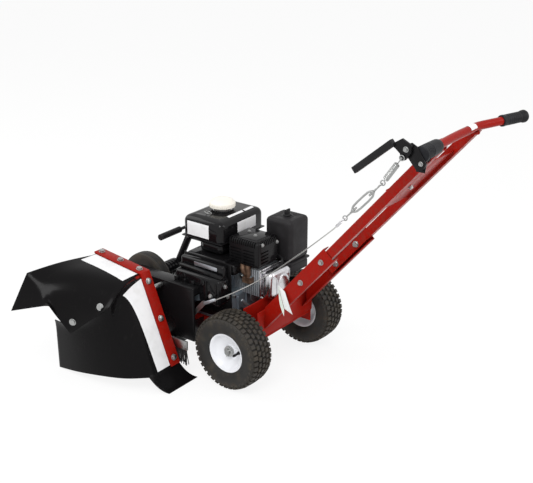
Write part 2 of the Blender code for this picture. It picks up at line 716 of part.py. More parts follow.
def intake():
    """The carburettor on the head's right side, and the air cleaner over it."""
    x0, x1 = CLEANER_LEFT, CLEANER_LEFT + CLEANER_WIDTH
    y0, y1 = CLEANER_REAR, CLEANER_REAR + CLEANER_DEPTH
    z0 = DECK_TOP + CLEANER_BOTTOM
    z1 = z0 + CLEANER_BASE_HEIGHT
    top = z0 + CLEANER_HEIGHT
    carburettor = piece(
        "carburettor",
        "bare_alloy",
        box(
            (CYLINDER_RIGHT + GAP, y0 + 0.045, DECK_TOP + CYLINDER_BOTTOM + 0.006),
            (CYLINDER_RIGHT + 0.050, y0 + 0.092, z0 - GAP),
            0.004,
            1,
        ),
    )
    join(
        carburettor,
        rod("Z", (CYLINDER_RIGHT + 0.028, y0 + 0.068), 0.019, DECK_TOP + CYLINDER_BOTTOM - 0.022, z0 - 0.01, 16),
    )
    base = piece("air_cleaner_base", "black_plastic", box((x0, y0, z0), (x1, y1, z1), 0.006, 1))
    cut(base, rod("Z", (CYLINDER_RIGHT + 0.028, y0 + 0.068), 0.012, z0 - 0.01, z1 + 0.01, 16))
    cover = piece(
        "air_cleaner_cover", "black_plastic", box((x0, y0, z1 + GAP), (x1, y1, top), 0.012, 3)
    )
    t = 0.0025
    cut(cover, box((x0 + t, y0 + t, z1 - 0.01), (x1 - t, y1 - t, top - t), 0.010, 2))
    knob_at = ((x0 + x1) / 2, (y0 + y1) / 2)
    stud = rod("Z", knob_at, 0.003, z1 - 0.002, top + 0.004, 12)
    cut(cover, rod("Z", knob_at, 0.003 + GAP, top - 0.02, top + 0.01, 12))
    join(base, stud)
    knob = piece(
        "air_cleaner_knob",
        "black_plastic",
        turned(
            "Z",
            knob_at,
            [(top + GAP, 0.0035), (top + GAP, 0.014), (top + 0.005, 0.012), (top + 0.006, 0.008),
             (top + 0.012, 0.007), (top + 0.012, 0), (top + 0.0045, 0), (top + 0.0045, 0.0035)],
            20,
        ),
        (*knob_at, top),
    )  # fmt: skip
    wing = box(
        (knob_at[0] - 0.011, knob_at[1] - 0.0025, top + 0.005),
        (knob_at[0] + 0.011, knob_at[1] + 0.0025, top + 0.019),
        0.002,
        1,
    )
    join(knob, wing)


def fuel_tank():
    x0, x1 = TANK_LEFT, TANK_LEFT + TANK_WIDTH
    y0, y1 = TANK_REAR, TANK_REAR + TANK_DEPTH
    z0 = DECK_TOP + BLOCK_HEIGHT + TANK_LIFT
    z1 = z0 + TANK_HEIGHT
    neck = ((x0 + x1) / 2, (y0 + y1) / 2)
    t = TANK_WALL
    tank = piece("fuel_tank", "black_paint", box((x0, y0, z0), (x1, y1, z1), 0.018, 3))
    crown = box((x0 + 0.018, y0 + 0.018, z1 - 0.010), (x1 - 0.018, y1 - 0.018, z1 + 0.008), 0.006, 2)
    join(tank, crown, rod("Z", neck, NECK_RADIUS, z1, z1 + 0.008 + NECK_HEIGHT, 24))
    for foot in (x0 + 0.035, x1 - 0.050):
        join(tank, box((foot, y0 + 0.03, BLOCK_TOP + GAP), (foot + 0.012, y1 - 0.04, z0 + 0.004)))
    cut(
        tank,
        box((x0 + t, y0 + t, z0 + t), (x1 - t, y1 - t, z1 - t), 0.017, 2),
        rod("Z", neck, NECK_RADIUS - t, z1 - 0.02, z1 + 0.05, 24),
    )
    rim_z = z1 + 0.008 + NECK_HEIGHT
    bore = NECK_RADIUS + GAP
    profile = [
        (rim_z - 0.012, bore), (rim_z - 0.012, CAP_RADIUS), (rim_z + CAP_HEIGHT - 0.014, CAP_RADIUS),
        (rim_z + CAP_HEIGHT - 0.007, CAP_RADIUS * 0.86), (rim_z + CAP_HEIGHT - 0.005, 0),
        (rim_z + GAP, 0), (rim_z + GAP, bore),
    ]  # fmt: skip
    piece("fuel_cap", "white_plastic", turned("Z", neck, profile, 28), (*neck, rim_z))


def starter():
    """The recoil cover with its pull grip, and the flywheel inside."""
    crank = (CRANK_Y, CRANK_Z)
    x0 = BLOCK_RIGHT + COVER_THICKNESS + GAP
    x1 = x0 + RECOIL_DEPTH
    r, t = RECOIL_RADIUS, 0.002
    profile = [
        (x0, r - t), (x0, r), (x1 - 0.030, r), (x1 - 0.018, r * 0.86), (x1, r * 0.5), (x1, 0),
        (x1 - t, 0), (x1 - t, r * 0.5 - t), (x1 - 0.018 - t, r * 0.86 - t), (x1 - 0.030 - t, r - t),
    ]  # fmt: skip
    cover = piece("recoil_cover", "black_paint", turned("X", crank, profile, 24))
    grip_z = CRANK_Z + 0.030
    spout_y = CRANK_Y + math.sqrt(r**2 - 0.030**2)
    spout = box((x0 + 0.015, spout_y - 0.012, grip_z - 0.010), (x0 + 0.035, spout_y + 0.010, grip_z + 0.010))
    join(cover, spout)
    handle_y = spout_y + 0.010 + GAP
    centre = (x0 + 0.025, handle_y + 0.006, grip_z)
    grip_shape = box(
        (centre[0] - 0.009, handle_y, grip_z - 0.028), (centre[0] + 0.009, handle_y + 0.018, grip_z + 0.028), 0.005, 2
    )
    piece("starter_grip", "black_plastic", grip_shape, centre)
    wheel = [
        (x0 + 0.004, CRANK_RADIUS + GAP), (x0 + 0.004, 0.080), (x0 + 0.020, 0.080), (x0 + 0.020, 0.030),
        (x0 + 0.026, 0.030), (x0 + 0.026, CRANK_RADIUS + GAP),
    ]  # fmt: skip
    piece("flywheel", "bare_alloy", turned("X", crank, wheel, 24), (x0, *crank))
    start = BELT_X - PULLEY_WIDTH / 2
    shaft = rod("X", crank, CRANK_RADIUS, start, x0 + 0.030, 24)
    piece("crankshaft", "zinc_steel", shaft, (0, *crank))
    throw = [(CRANK_Y - 0.018, CRANK_Z - 0.045), (CRANK_Y + 0.018, CRANK_Z - 0.045)]
    throw += [(CRANK_Y + 0.018, CRANK_Z + 0.032), (CRANK_Y - 0.018, CRANK_Z + 0.032)]
    for web_x in (-0.045, 0.005):
        join(bpy.data.objects["crankshaft"], prism("X", throw, web_x, web_x + 0.014))
    join(
        bpy.data.objects["crankshaft"],
        rod("X", (CRANK_Y, CRANK_Z + 0.020), 0.010, -0.045, 0.010, 12),
    )


def controls():
    """The oil dipstick, the throttle lever and the engine switch."""
    x, z, radius = DIPSTICK
    y = BLOCK_REAR
    profile = [
        (y + 0.012, 0), (y + 0.012, radius), (y - GAP, radius), (y - GAP, 0.015), (y - 0.007, 0.015),
        (y - 0.009, 0.012), (y - 0.009, 0),
    ]  # fmt: skip
    stick = piece("oil_dipstick", "black_plastic", turned("Y", (x, z), profile, 18), (x, y, z))
    join(stick, box((x - 0.014, y - 0.016, z - 0.003), (x + 0.014, y - 0.006, z + 0.003), 0.0015, 1))
    pivot = (0.040, BLOCK_FRONT - 0.020)
    low = BLOCK_TOP + GAP
    arm = [(pivot[0] - 0.008, pivot[1] - 0.008), (pivot[0] + 0.008, pivot[1] - 0.008)]
    arm += [(pivot[0] + 0.012, pivot[1] + 0.060), (pivot[0] + 0.002, pivot[1] + 0.060)]
    lever = piece("throttle_lever", "black_plastic", prism("Z", arm, low, low + 0.003), (*pivot, low))
    join(lever, box((pivot[0] - 0.001, pivot[1] + 0.052, low), (pivot[0] + 0.015, pivot[1] + 0.062, low + 0.014)))
    switch_at = (0.030, SEAT + 0.150)
    face = BLOCK_FRONT + GAP
    knob = piece(
        "engine_switch",
        "red_plastic",
        rod("Y", switch_at, 0.011, face, face + 0.010, 16),
        (switch_at[0], face, switch_at[1]),
    )
    join(
        knob,
        box(
            (switch_at[0] - 0.003, face + 0.008, switch_at[1] - 0.010),
            (switch_at[0] + 0.003, face + 0.018, switch_at[1] + 0.010),
        ),
    )


# ---- belt drive ----
def belt_outline(grow):
    """The outline round both pulleys: two arcs and the tangents between them."""
    c1, c2 = Vector((CRANK_Y, CRANK_Z)), Vector((ROTOR_Y, ROTOR_Z))
    r1 = CRANK_PULLEY_RADIUS - BELT_THICKNESS + GAP + grow
    r2 = ROTOR_PULLEY_RADIUS - BELT_THICKNESS + GAP + grow
    away = c2 - c1
    heading = math.atan2(away.y, away.x)
    lean = math.acos((r1 - r2) / away.length)
    outline = []
    for centre, radius, start, sweep in (
        (c2, r2, heading - lean, 2 * lean),
        (c1, r1, heading + lean, 2 * (math.pi - lean)),
    ):
        steps = 18
        for i in range(steps + 1):
            angle = start + sweep * i / steps
            outline.append((centre.x + radius * math.cos(angle), centre.y + radius * math.sin(angle)))
    return outline


def pulley(name, centre, radius, bore, pivot_x):
    half, groove = PULLEY_WIDTH / 2, BELT_WIDTH / 2 + GAP
    floor = radius - BELT_THICKNESS
    x = BELT_X
    profile = [
        (x - half, bore), (x - half, radius), (x - groove, radius), (x - groove, floor),
        (x + groove, floor), (x + groove, radius), (x + half, radius), (x + half, bore),
    ]  # fmt: skip
    return piece(name, "grey_casting", turned("X", centre, profile, 24), (pivot_x, *centre))


def belt_drive():
    crank, rotor = (CRANK_Y, CRANK_Z), (ROTOR_Y, ROTOR_Z)
    pulley("crank_pulley", crank, CRANK_PULLEY_RADIUS, CRANK_RADIUS + GAP, BELT_X)
    pulley("rotor_pulley", rotor, ROTOR_PULLEY_RADIUS, SHAFT_RADIUS + GAP, BELT_X)
    half = BELT_WIDTH / 2
    belt = piece(
        "drive_belt", "tyre_rubber", prism("X", belt_outline(BELT_THICKNESS), BELT_X - half, BELT_X + half)
    )
    cut(belt, prism("X", belt_outline(0), BELT_X - 2 * half, BELT_X + 2 * half))
    idler()
    guards()


def idler():
    """The bell crank that the cable pulls, with the pulley that tightens the belt."""
    x1 = BELT_X - 0.0235
    x0 = x1 - 0.005
    half_width = PULLEY_WIDTH / 2
    idler_at = (IDLER_Y, IDLER_Z)
    arm = piece(
        "idler_arm",
        "zinc_steel",
        prism("X", disc_outline(IDLER_PIVOT, 0.013), x0, x1),
        (x1, *IDLER_PIVOT),
    )
    for end, radius in ((IDLER_TIP, 0.007), (idler_at, 0.009)):
        a, b = Vector(IDLER_PIVOT), Vector(end)
        side = (b - a).normalized()
        side = Vector((-side.y, side.x)) * radius
        join(
            arm,
            prism("X", [a + side, b + side, b - side, a - side], x0, x1),
            prism("X", disc_outline(b, radius), x0, x1),
        )
    join(arm, rod("X", idler_at, PIN_RADIUS, x0, BELT_X + half_width + 0.002, 12))
    cut(arm, rod("X", IDLER_PIVOT, PIN_RADIUS + GAP, x0 - 0.01, x1 + 0.01, 16))
    bore = PIN_RADIUS + GAP
    profile = [
        (BELT_X - half_width, bore), (BELT_X - half_width, IDLER_RADIUS),
        (BELT_X + half_width, IDLER_RADIUS), (BELT_X + half_width, bore),
    ]  # fmt: skip
    piece("idler_pulley", "zinc_steel", turned("X", idler_at, profile, 24), (BELT_X, *idler_at))


def guards():
    """The belt guard, two joined boxes open towards the engine, and the plate that carries it."""
    t = GUARD_WALL
    plate_x1 = BLOCK_LEFT - GAP
    plate_x0 = plate_x1 - 0.003
    y1 = BLOCK_FRONT
    z0, z1 = SEAT + 0.012, BLOCK_TOP
    plate = piece(
        "guard_back_plate", "black_paint", box((plate_x0, BLOCK_REAR, z0), (plate_x1, y1, z1))
    )
    cut(plate, rod("X", (CRANK_Y, CRANK_Z), CRANK_RADIUS + 0.006, plate_x0 - 0.01, plate_x1 + 0.01, 24))
    right = plate_x0 - GAP
    over_tyre = math.sqrt(WHEEL_RADIUS**2 - BLOCK_REAR**2) + TYRE_CLEARANCE
    under_pulley = CRANK_Z - CRANK_PULLEY_RADIUS + GUARD_WALL - AXLE_Z
    rise = min(over_tyre, under_pulley)
    upper_z = AXLE_Z + rise
    y0 = max(BLOCK_REAR, math.sqrt((WHEEL_RADIUS + 0.8 * TYRE_CLEARANCE) ** 2 - rise**2))
    lower_right = -DECK_HALF_WIDTH - 0.0025
    low_y, low_z = BLOCK_REAR + 0.080, ROTOR_Z - ROTOR_PULLEY_RADIUS - 0.038
    front_y, top_z = ROTOR_Y + ROTOR_PULLEY_RADIUS + 0.010, ROTOR_Z + ROTOR_PULLEY_RADIUS + 0.047
    guard = piece("belt_guard", "black_paint", box((UPPER_GUARD_LEFT, y0, upper_z), (right, y1, z1)))
    join(guard, box((LOWER_GUARD_LEFT, low_y, low_z), (lower_right, front_y, top_z)))
    cut(
        guard,
        box((UPPER_GUARD_LEFT + t, y0 + t, upper_z + t), (right + 0.01, y1 - t, z1 - t)),
        box((LOWER_GUARD_LEFT + t, low_y + t, low_z + t), (lower_right + 0.001, front_y - t, top_z - t)),
        box(
            (LOWER_GUARD_LEFT + 0.006, low_y - 0.01, IDLER_PIVOT[1] + 0.008),
            (UPPER_GUARD_LEFT - 0.004, low_y + 0.01, IDLER_TIP[1] + 0.015),
        ),
        rod("X", (ROTOR_Y, ROTOR_Z), SHAFT_RADIUS + 0.002, LOWER_GUARD_LEFT - 0.01, LOWER_GUARD_LEFT + 0.01, 24),
    )
    join(guard, rod("X", IDLER_PIVOT, PIN_RADIUS, LOWER_GUARD_LEFT + t / 2, BELT_X - 0.020, 16))


# ---- cutting head ----
def strip_path(depth):
    """The arch's line, moved inwards from the strip's outer face."""
    return offset_path(ARCH, -depth)


def head():
    rotor = (ROTOR_Y, ROTOR_Z)
    x0, x1 = HEAD_X - HEAD_THICKNESS, HEAD_X
    outboard = x0 - STRIP_WIDTH
    stack = STRIP_THICKNESS + SHEET_THICKNESS + 2 * GAP
    frame_path = strip_path(stack)
    plate = piece("head_plate", "red_paint", prism("X", frame_path, x0, x1))
    flange = frame_path + strip_path(stack + HEAD_THICKNESS)[::-1]
    join(plate, prism("X", flange, outboard, x1 - 0.0005))
    cut(plate, rod("X", rotor, SHAFT_RADIUS + 0.002, x0 - 0.01, x1 + 0.01, 24))
    outside = [Vector(p) for p in ARCH[:3]]
    inside = strip_path(STRIP_THICKNESS)[:3]
    piece("arch_strip", "red_paint", prism("X", outside + inside[::-1], outboard, x0))
    spindle(x1)
    hood(x0, outboard)
    head_fittings(x1)


def spindle(plate_x):
    """The bearing housing on the head plate, the shaft through it, and the cutter wheel."""
    rotor = (ROTOR_Y, ROTOR_Z)
    start, end = LOWER_GUARD_LEFT - GAP, plate_x + GAP
    bore = SHAFT_RADIUS + GAP
    profile = [(start, bore), (start, 0.030), (end + 0.008, 0.030), (end + 0.008, 0.046), (end, 0.046), (end, bore)]
    piece("spindle_housing", "black_paint", turned("X", rotor, profile, 28))
    inner_end = BELT_X + PULLEY_WIDTH / 2 + 0.002
    outer_end = CUTTER_X - CUTTER_THICKNESS / 2 - 0.016
    shaft = piece(
        "rotor_shaft", "zinc_steel", rod("X", rotor, SHAFT_RADIUS, outer_end, inner_end, 24), (0, *rotor)
    )
    collar_x = CUTTER_X + CUTTER_THICKNESS / 2 + GAP
    nut_x = CUTTER_X - CUTTER_THICKNESS / 2 - GAP
    join(
        shaft,
        rod("X", rotor, 0.026, collar_x, collar_x + 0.012, 24),
        rod("X", rotor, 0.021, nut_x - 0.012, nut_x, 6),
    )
    half = CUTTER_THICKNESS / 2
    wheel = piece(
        "cutter_wheel",
        "zinc_steel",
        collar("X", rotor, bore, CUTTER_RADIUS, CUTTER_X - half, CUTTER_X + half, 32),
        (CUTTER_X, *rotor),
    )
    for i in range(TOOTH_COUNT):
        angle = 2 * math.pi * i / TOOTH_COUNT
        out = Vector((math.cos(angle), math.sin(angle)))
        along_rim = Vector((-out.y, out.x)) * 0.009
        centre = Vector(rotor)
        near, far = centre + out * (CUTTER_RADIUS - 0.012), centre + out * (CUTTER_RADIUS + TOOTH_REACH)
        side = 0.005 if i % 2 else -0.005
        outline = [near - along_rim, far - along_rim, far + along_rim * 0.5, near + along_rim]
        join(wheel, prism("X", outline, CUTTER_X - half - 0.003 + side, CUTTER_X + half + 0.003 + side))
    for i in range(4):
        angle = math.pi / 4 + math.pi / 2 * i
        place = (ROTOR_Y + 0.062 * math.cos(angle), ROTOR_Z + 0.062 * math.sin(angle))
        cut(wheel, rod("X", place, 0.016, CUTTER_X - 0.03, CUTTER_X + 0.03, 12))


def hood(plate_x, outboard):
    """The rubber sheets: one over the top of the arch, one down its rear leg and round the side."""
    middle = strip_path(STRIP_THICKNESS + GAP + SHEET_THICKNESS / 2)
    foot, knee, brow = (Vector(p) for p in middle[:3])
    inner = plate_x + 0.001
    heights = (0.0, 0.22, 0.45, 0.68, 0.92)
    x = outboard
    rows = []
    for h in heights:
        y, z = foot.lerp(knee, h)
        lift = z - foot.y
        row = [(inner, y, z), (x, y, z), (x - 0.048, y, z - 0.02 * h), (x - 0.071, y + 0.004, z - 0.03 * h)]
        row += [(x - 0.088, y + 0.030, z - 0.003 - 0.05 * h)]
        row += [(x - 0.112, 0.225 + 0.17 * lift, 0.040 + 0.76 * lift)]
        row += [(x - 0.133, 0.315 + 0.10 * lift, 0.032 + 0.66 * lift)]
        row += [(x - 0.135, 0.400 + 0.04 * lift, 0.016 + 0.62 * lift)]
        row += [(x - 0.125, 0.483, 0.0 + 0.62 * lift)]
        rows.append(row)
    flap = []
    for shift, y, z in ((0.003, 0.134, 0.024), (0.018, 0.104, 0.0040), (0.024, 0.088, 0.0016)):
        flap.append([(place + shift, y, z) for place in (inner, x, x - 0.048, x - 0.071)])
    sheet("hood_side_sheet", "sheet_rubber", rows, flap)
    top = []
    for t, spread in (
        (0.02, ((-0.048, 0.260, 0.306), (-0.091, 0.252, 0.291), (-0.127, 0.247, 0.266))),
        (0.28, ((-0.073, 0.305, 0.318), (-0.131, 0.295, 0.278), (-0.155, 0.305, 0.215))),
        (0.58, ((-0.103, 0.370, 0.326), (-0.165, 0.365, 0.262), (-0.169, 0.375, 0.158))),
        (0.82, ((-0.133, 0.430, 0.326), (-0.195, 0.415, 0.285), (-0.213, 0.402, 0.252))),
        (1.00, ((-0.103, 0.470, 0.334), (-0.203, 0.492, 0.317), (-0.253, 0.520, 0.225))),
    ):
        y, z = knee.lerp(brow, t)
        top.append([(inner, y, z), (x, y, z), *((x + out, *place) for out, *place in spread)])
    sheet("hood_top_sheet", "sheet_rubber", top)


def head_fittings(plate_x):
    """The brush at the rear foot, the tie rod to the guard and the beam under the deck."""
    x0, x1 = plate_x + GAP, plate_x + 0.006
    piece("brush_bar", "zinc_steel", box((x0, 0.126, 0.092), (x1, 0.215, 0.121)))
    piece("brush", "bristle", box((x0 + 0.001, 0.128, 0.044), (x1 - 0.001, 0.205, 0.092 - GAP)))
    piece(
        "tie_rod",
        "zinc_steel",
        rod("X", (0.273, 0.2465), 0.008, plate_x + GAP, LOWER_GUARD_LEFT - GAP, 16),
    )
    under = DECK_TOP - DECK_THICKNESS - GAP
    y0, y1 = 0.225, 0.257
    top = ROTOR_Z - ROTOR_PULLEY_RADIUS - 0.038 - 0.003
    low = top - 0.030
    beam = piece("head_beam", "black_paint", box((plate_x + GAP, y0, low), (-0.060, y1, top)))
    join(beam, box((-DECK_HALF_WIDTH + 0.012, y0, top - 0.010), (-0.060, y1, under)))
    cut(beam, box((plate_x - 0.01, y0 + 0.003, low + 0.003), (-0.10, y1 - 0.003, top - 0.003)))


# ---- gauge wheel ----
def gauge():
    y, z = GAUGE_AXLE
    x0, x1 = GAUGE_ARM_X, GAUGE_ARM_X + GAUGE_ARM_THICKNESS
    left = GAUGE_X - GAUGE_WIDTH / 2
    arm = piece(
        "gauge_arm",
        "black_paint",
        prism("X", disc_outline(GAUGE_PIVOT, 0.016), x0, x1),
        (x0, *GAUGE_PIVOT),
    )
    for a, b, half in (
        (GAUGE_PIVOT, GAUGE_AXLE, 0.012),
        (GAUGE_AXLE, DEPTH_GRIP, 0.011),
    ):
        a, b = Vector(a), Vector(b)
        side = (b - a).normalized()
        side = Vector((-side.y, side.x)) * half
        join(
            arm,
            prism("X", [a + side, b + side, b - side, a - side], x0, x1),
            prism("X", disc_outline(b, half * 1.15), x0, x1),
        )
    join(
        arm,
        rod("X", GAUGE_AXLE, AXLE_RADIUS, left - 0.004, x0 + 0.002, 16),
        rod("X", DEPTH_GRIP, 0.005, DEPTH_GRIP_END + 0.01, x0 + 0.002, 16),
        rod("X", DEPTH_GRIP, 0.009, DEPTH_GRIP_END, DEPTH_GRIP_END + 0.090, 16),
    )
    cut(arm, rod("X", GAUGE_PIVOT, PIN_RADIUS + GAP, x0 - 0.01, x1 + 0.01, 16))
    tyre("gauge_tyre", GAUGE_X, y, z, GAUGE_RADIUS, GAUGE_WIDTH, GAUGE_RIM_RADIUS, 0.006)
    bore = AXLE_RADIUS + GAP
    seat = GAUGE_RIM_RADIUS - BEAD_DEPTH - GAP
    right = GAUGE_X + GAUGE_WIDTH / 2
    hub = GAUGE_HUB_RADIUS
    profile = [
        (left + 0.006, bore), (left + 0.006, seat), (right - 0.006, seat), (right - 0.006, hub),
        (x0 - GAP, hub), (x0 - GAP, bore),
    ]  # fmt: skip
    piece("gauge_rim", "black_plastic", turned("X", GAUGE_AXLE, profile, 24), (GAUGE_X, y, z))


# ---- clutch lever and linkage ----
def bar_outline(a, b, half):
    """A straight flat bar between two points."""
    a, b = Vector(a), Vector(b)
    side = (b - a).normalized()
    side = Vector((-side.y, side.x)) * half
    return [a + side, b + side, b - side, a - side]


def clutch():
    inner = LEVER_X
    outer = LEVER_X - LEVER_THICKNESS
    half = LEVER_WIDTH / 2
    pivot = (inner, *LEVER_PIVOT)
    lever = piece(
        "clutch_lever", "black_paint", prism("X", disc_outline(LEVER_PIVOT, 0.012), outer, inner), pivot
    )
    join(
        lever,
        prism("X", bar_outline(LEVER_PIVOT, LINK_PIN, 0.007), outer, inner),
        prism("X", disc_outline(LINK_PIN, 0.007), outer, inner),
        prism("X", bar_outline(LEVER_PIVOT, LEVER_ELBOW, half), outer, inner),
        prism("X", disc_outline(LEVER_ELBOW, half), outer, inner),
        prism("X", bar_outline(LEVER_ELBOW, LEVER_TIP, half), outer - 0.007, inner - 0.001),
        rod("X", LINK_PIN, 0.003, LINK_X - 0.0035, outer + 0.002, 12),
    )
    cut(lever, rod("X", LEVER_PIVOT, PIN_RADIUS + GAP, outer - 0.01, inner + 0.01, 16))
    lever_bracket(inner)
    linkage(outer)


def lever_bracket(lever_x):
    """The bracket bolted to the left arm that holds the lever's pivot pin."""
    face = -ARM_HALF_SPACING - ARM_TUBE / 2 - GAP
    ear_x = lever_x + 2 * GAP
    place = arm_point(BRACKET_PLACE)
    along_arm = ARM_DIRECTION * 0.019
    up = Vector((-ARM_DIRECTION.y, -ARM_DIRECTION.x))
    base = [place - along_arm - up * 0.011, place + along_arm - up * 0.011]
    base += [place + along_arm + up * 0.011, place - along_arm + up * 0.011]
    bracket = piece("lever_bracket", "black_paint", prism("X", base, face, face - 0.004))
    strap = [place - along_arm * 0.9 - up * 0.002, place + along_arm * 0.2 - up * 0.002]
    strap += [place + along_arm * 0.2 + up * 0.002, place - along_arm * 0.9 + up * 0.002]
    join(
        bracket,
        prism("X", strap, face - 0.002, ear_x + 0.001),
        prism("X", bar_outline(place - along_arm * 0.4, LEVER_PIVOT, 0.0108), ear_x, ear_x + 0.0035),
        prism("X", disc_outline(LEVER_PIVOT, 0.0112), ear_x, ear_x + 0.0035),
        rod("X", LEVER_PIVOT, PIN_RADIUS, ear_x + 0.002, lever_x - LEVER_THICKNESS + 0.0005, 16),
    )


# the linkage's joints, where one eye hangs in the next, and the wire rope's way to the idler, as x, y, z
SPRING_JOINT = (-0.2315, -0.4985, 0.7285)
ROPE_JOINT = (-0.2265, -0.3945, 0.6165)
CABLE_ROUTE = (
    (-0.2245, -0.3820, 0.6030), (-0.2205, -0.3620, 0.5820), (-0.2110, -0.3200, 0.5440), (-0.2010, -0.2700, 0.5000),
    (-0.1930, -0.2150, 0.4530), (-0.1870, -0.1500, 0.3985), (-0.1830, -0.0750, 0.3410), (-0.1795, 0.0000, 0.2905),
    (-0.1770, 0.0600, 0.2530), (-0.1755, 0.0950, 0.2340), (-0.1755, 0.1130, 0.2250),
)  # fmt: skip
EYE_RADIUS = 0.0062
EYE_WIRE = 0.0021
EYE_HANG = EYE_RADIUS - 2 * EYE_WIRE - GAP  # from an eye's centre to the wire that hangs in it


def turned_to(shape, direction, place):
    """A shape made along +X, turned to a direction and moved to a place."""
    turn = Vector((1, 0, 0)).rotation_difference(Vector(direction).normalized()).to_matrix()
    bmesh.ops.rotate(shape, verts=shape.verts[:], cent=(0, 0, 0), matrix=turn)
    bmesh.ops.translate(shape, verts=shape.verts[:], vec=Vector(place))
    return shape


def straight(a, b, radius, steps=8):
    """A round bar from a to b."""
    a, b = Vector(a), Vector(b)
    return turned_to(rod("X", (0, 0), radius, 0, (b - a).length, steps), b - a, a)


def eye(centre, axis):
    """A closed eye of round wire."""
    turns = [2 * math.pi * i / 5 for i in range(5)]
    profile = [(EYE_WIRE * math.cos(t), EYE_RADIUS + EYE_WIRE * math.sin(t)) for t in turns]
    return turned_to(turned("X", (0, 0), profile, 12), axis, centre)


def linkage(lever_outer):
    """The spring, the turnbuckle and the wire rope, which the lever's pin carries."""
    pin = (LINK_X, *LINK_PIN)
    level = Vector((1, 0, 0))
    start = Vector((lever_outer - EYE_WIRE - 2 * GAP, *LINK_PIN))
    joint = Vector(SPRING_JOINT)
    heading = (joint - start).normalized()
    spring = piece("clutch_spring", "zinc_steel", eye(start, level), pin)
    coil_top, coil_end = start + heading * 0.016, joint - heading * 0.014
    join(
        spring,
        straight(start + heading * EYE_RADIUS, coil_top + heading * 0.002, EYE_WIRE),
        straight(coil_top, coil_end, SPRING_RADIUS, 14),
        straight(coil_end - heading * 0.002, joint - heading * EYE_RADIUS, EYE_WIRE),
        eye(joint, level),
    )
    low = Vector(ROPE_JOINT)
    way = (low - joint).normalized()
    side = way.cross(level).normalized()
    first = joint + way * (EYE_HANG + EYE_RADIUS)
    buckle = piece("turnbuckle", "zinc_steel", eye(first, side), pin)
    high = first + way * (EYE_RADIUS + 0.018)
    bottom = low - way * (EYE_RADIUS + 0.018)
    reach = side * 0.0065
    join(
        buckle,
        straight(first + way * EYE_RADIUS, high + way * 0.010, 0.0024),
        straight(high + reach, bottom + reach, 0.0022),
        straight(high - reach, bottom - reach, 0.0023),
        straight(high - reach * 1.3, high + reach * 1.3, 0.004, 10),
        straight(bottom - reach * 1.3, bottom + reach * 1.3, 0.0041, 10),
        straight(bottom - way * 0.010, low - way * EYE_RADIUS, 0.0025),
        eye(low, level),
    )
    rope_start = Vector(CABLE_ROUTE[0])
    drop = (rope_start - low).normalized()
    hung = low + drop * (EYE_HANG + EYE_RADIUS)
    rope = swept("clutch_cable", "zinc_steel", smooth_path(CABLE_ROUTE, 2), WIRE_RADIUS, pivot=pin, steps=2)
    join(
        rope,
        eye(hung, drop.cross(level)),
        straight(hung + drop * EYE_RADIUS, CABLE_ROUTE[1], 0.0034, 10),
        straight(Vector(CABLE_ROUTE[-3]).lerp(Vector(CABLE_ROUTE[-2]), 0.3), CABLE_ROUTE[-1], 0.0045, 10),
    )


def centre_on_footprint():
    """Moves the machine so that the origin is under the middle of its bounding box."""
    bpy.context.view_layer.update()
    graph = bpy.context.evaluated_depsgraph_get()
    corners = []
    for made in MACHINE.children:
        evaluated = made.evaluated_get(graph)
        corners += [evaluated.matrix_world @ vert.co for vert in evaluated.data.vertices]
    low = [min(c[i] for c in corners) for i in range(3)]
    high = [max(c[i] for c in corners) for i in range(3)]
    MACHINE.location = (-(low[0] + high[0]) / 2, -(low[1] + high[1]) / 2, -low[2])


for leftover in list(bpy.data.objects):
    bpy.data.objects.remove(leftover)
MACHINE = bpy.data.objects.new("machine", None)
bpy.context.scene.collection.objects.link(MACHINE)
wheels()
deck()
rear_channel()
handle()
engine()
belt_drive()
head()
gauge()
clutch()
centre_on_footprint()
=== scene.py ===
"""The looks of a walk-behind stump grinder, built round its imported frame.

Metres. at(x, y, z) measures from the ground under the middle of the axle.
+X is the machine's right, and +Y is forward.
"""

import json
import math
from contextlib import contextmanager

import bmesh
import bpy
from mathutils import Matrix, Vector

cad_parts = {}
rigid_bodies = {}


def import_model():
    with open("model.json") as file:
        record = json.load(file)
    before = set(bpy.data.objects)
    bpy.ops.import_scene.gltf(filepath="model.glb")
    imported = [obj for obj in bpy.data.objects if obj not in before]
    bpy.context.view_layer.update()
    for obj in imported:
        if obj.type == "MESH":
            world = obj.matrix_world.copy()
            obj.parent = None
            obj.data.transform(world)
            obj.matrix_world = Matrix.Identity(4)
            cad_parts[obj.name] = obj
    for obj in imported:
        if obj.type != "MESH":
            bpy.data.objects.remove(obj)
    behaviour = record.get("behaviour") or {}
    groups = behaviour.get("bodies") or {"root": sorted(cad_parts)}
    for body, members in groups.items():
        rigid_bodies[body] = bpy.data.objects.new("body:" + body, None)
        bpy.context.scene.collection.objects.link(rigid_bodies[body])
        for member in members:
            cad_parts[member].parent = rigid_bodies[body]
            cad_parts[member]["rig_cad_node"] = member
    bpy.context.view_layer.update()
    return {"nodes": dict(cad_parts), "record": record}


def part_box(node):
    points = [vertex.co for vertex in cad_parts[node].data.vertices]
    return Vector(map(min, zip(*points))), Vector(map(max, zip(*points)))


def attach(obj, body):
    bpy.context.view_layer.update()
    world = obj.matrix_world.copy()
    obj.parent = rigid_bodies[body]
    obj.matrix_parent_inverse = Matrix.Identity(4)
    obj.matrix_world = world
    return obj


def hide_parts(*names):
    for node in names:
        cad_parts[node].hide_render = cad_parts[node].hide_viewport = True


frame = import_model()
NODES = frame["nodes"]

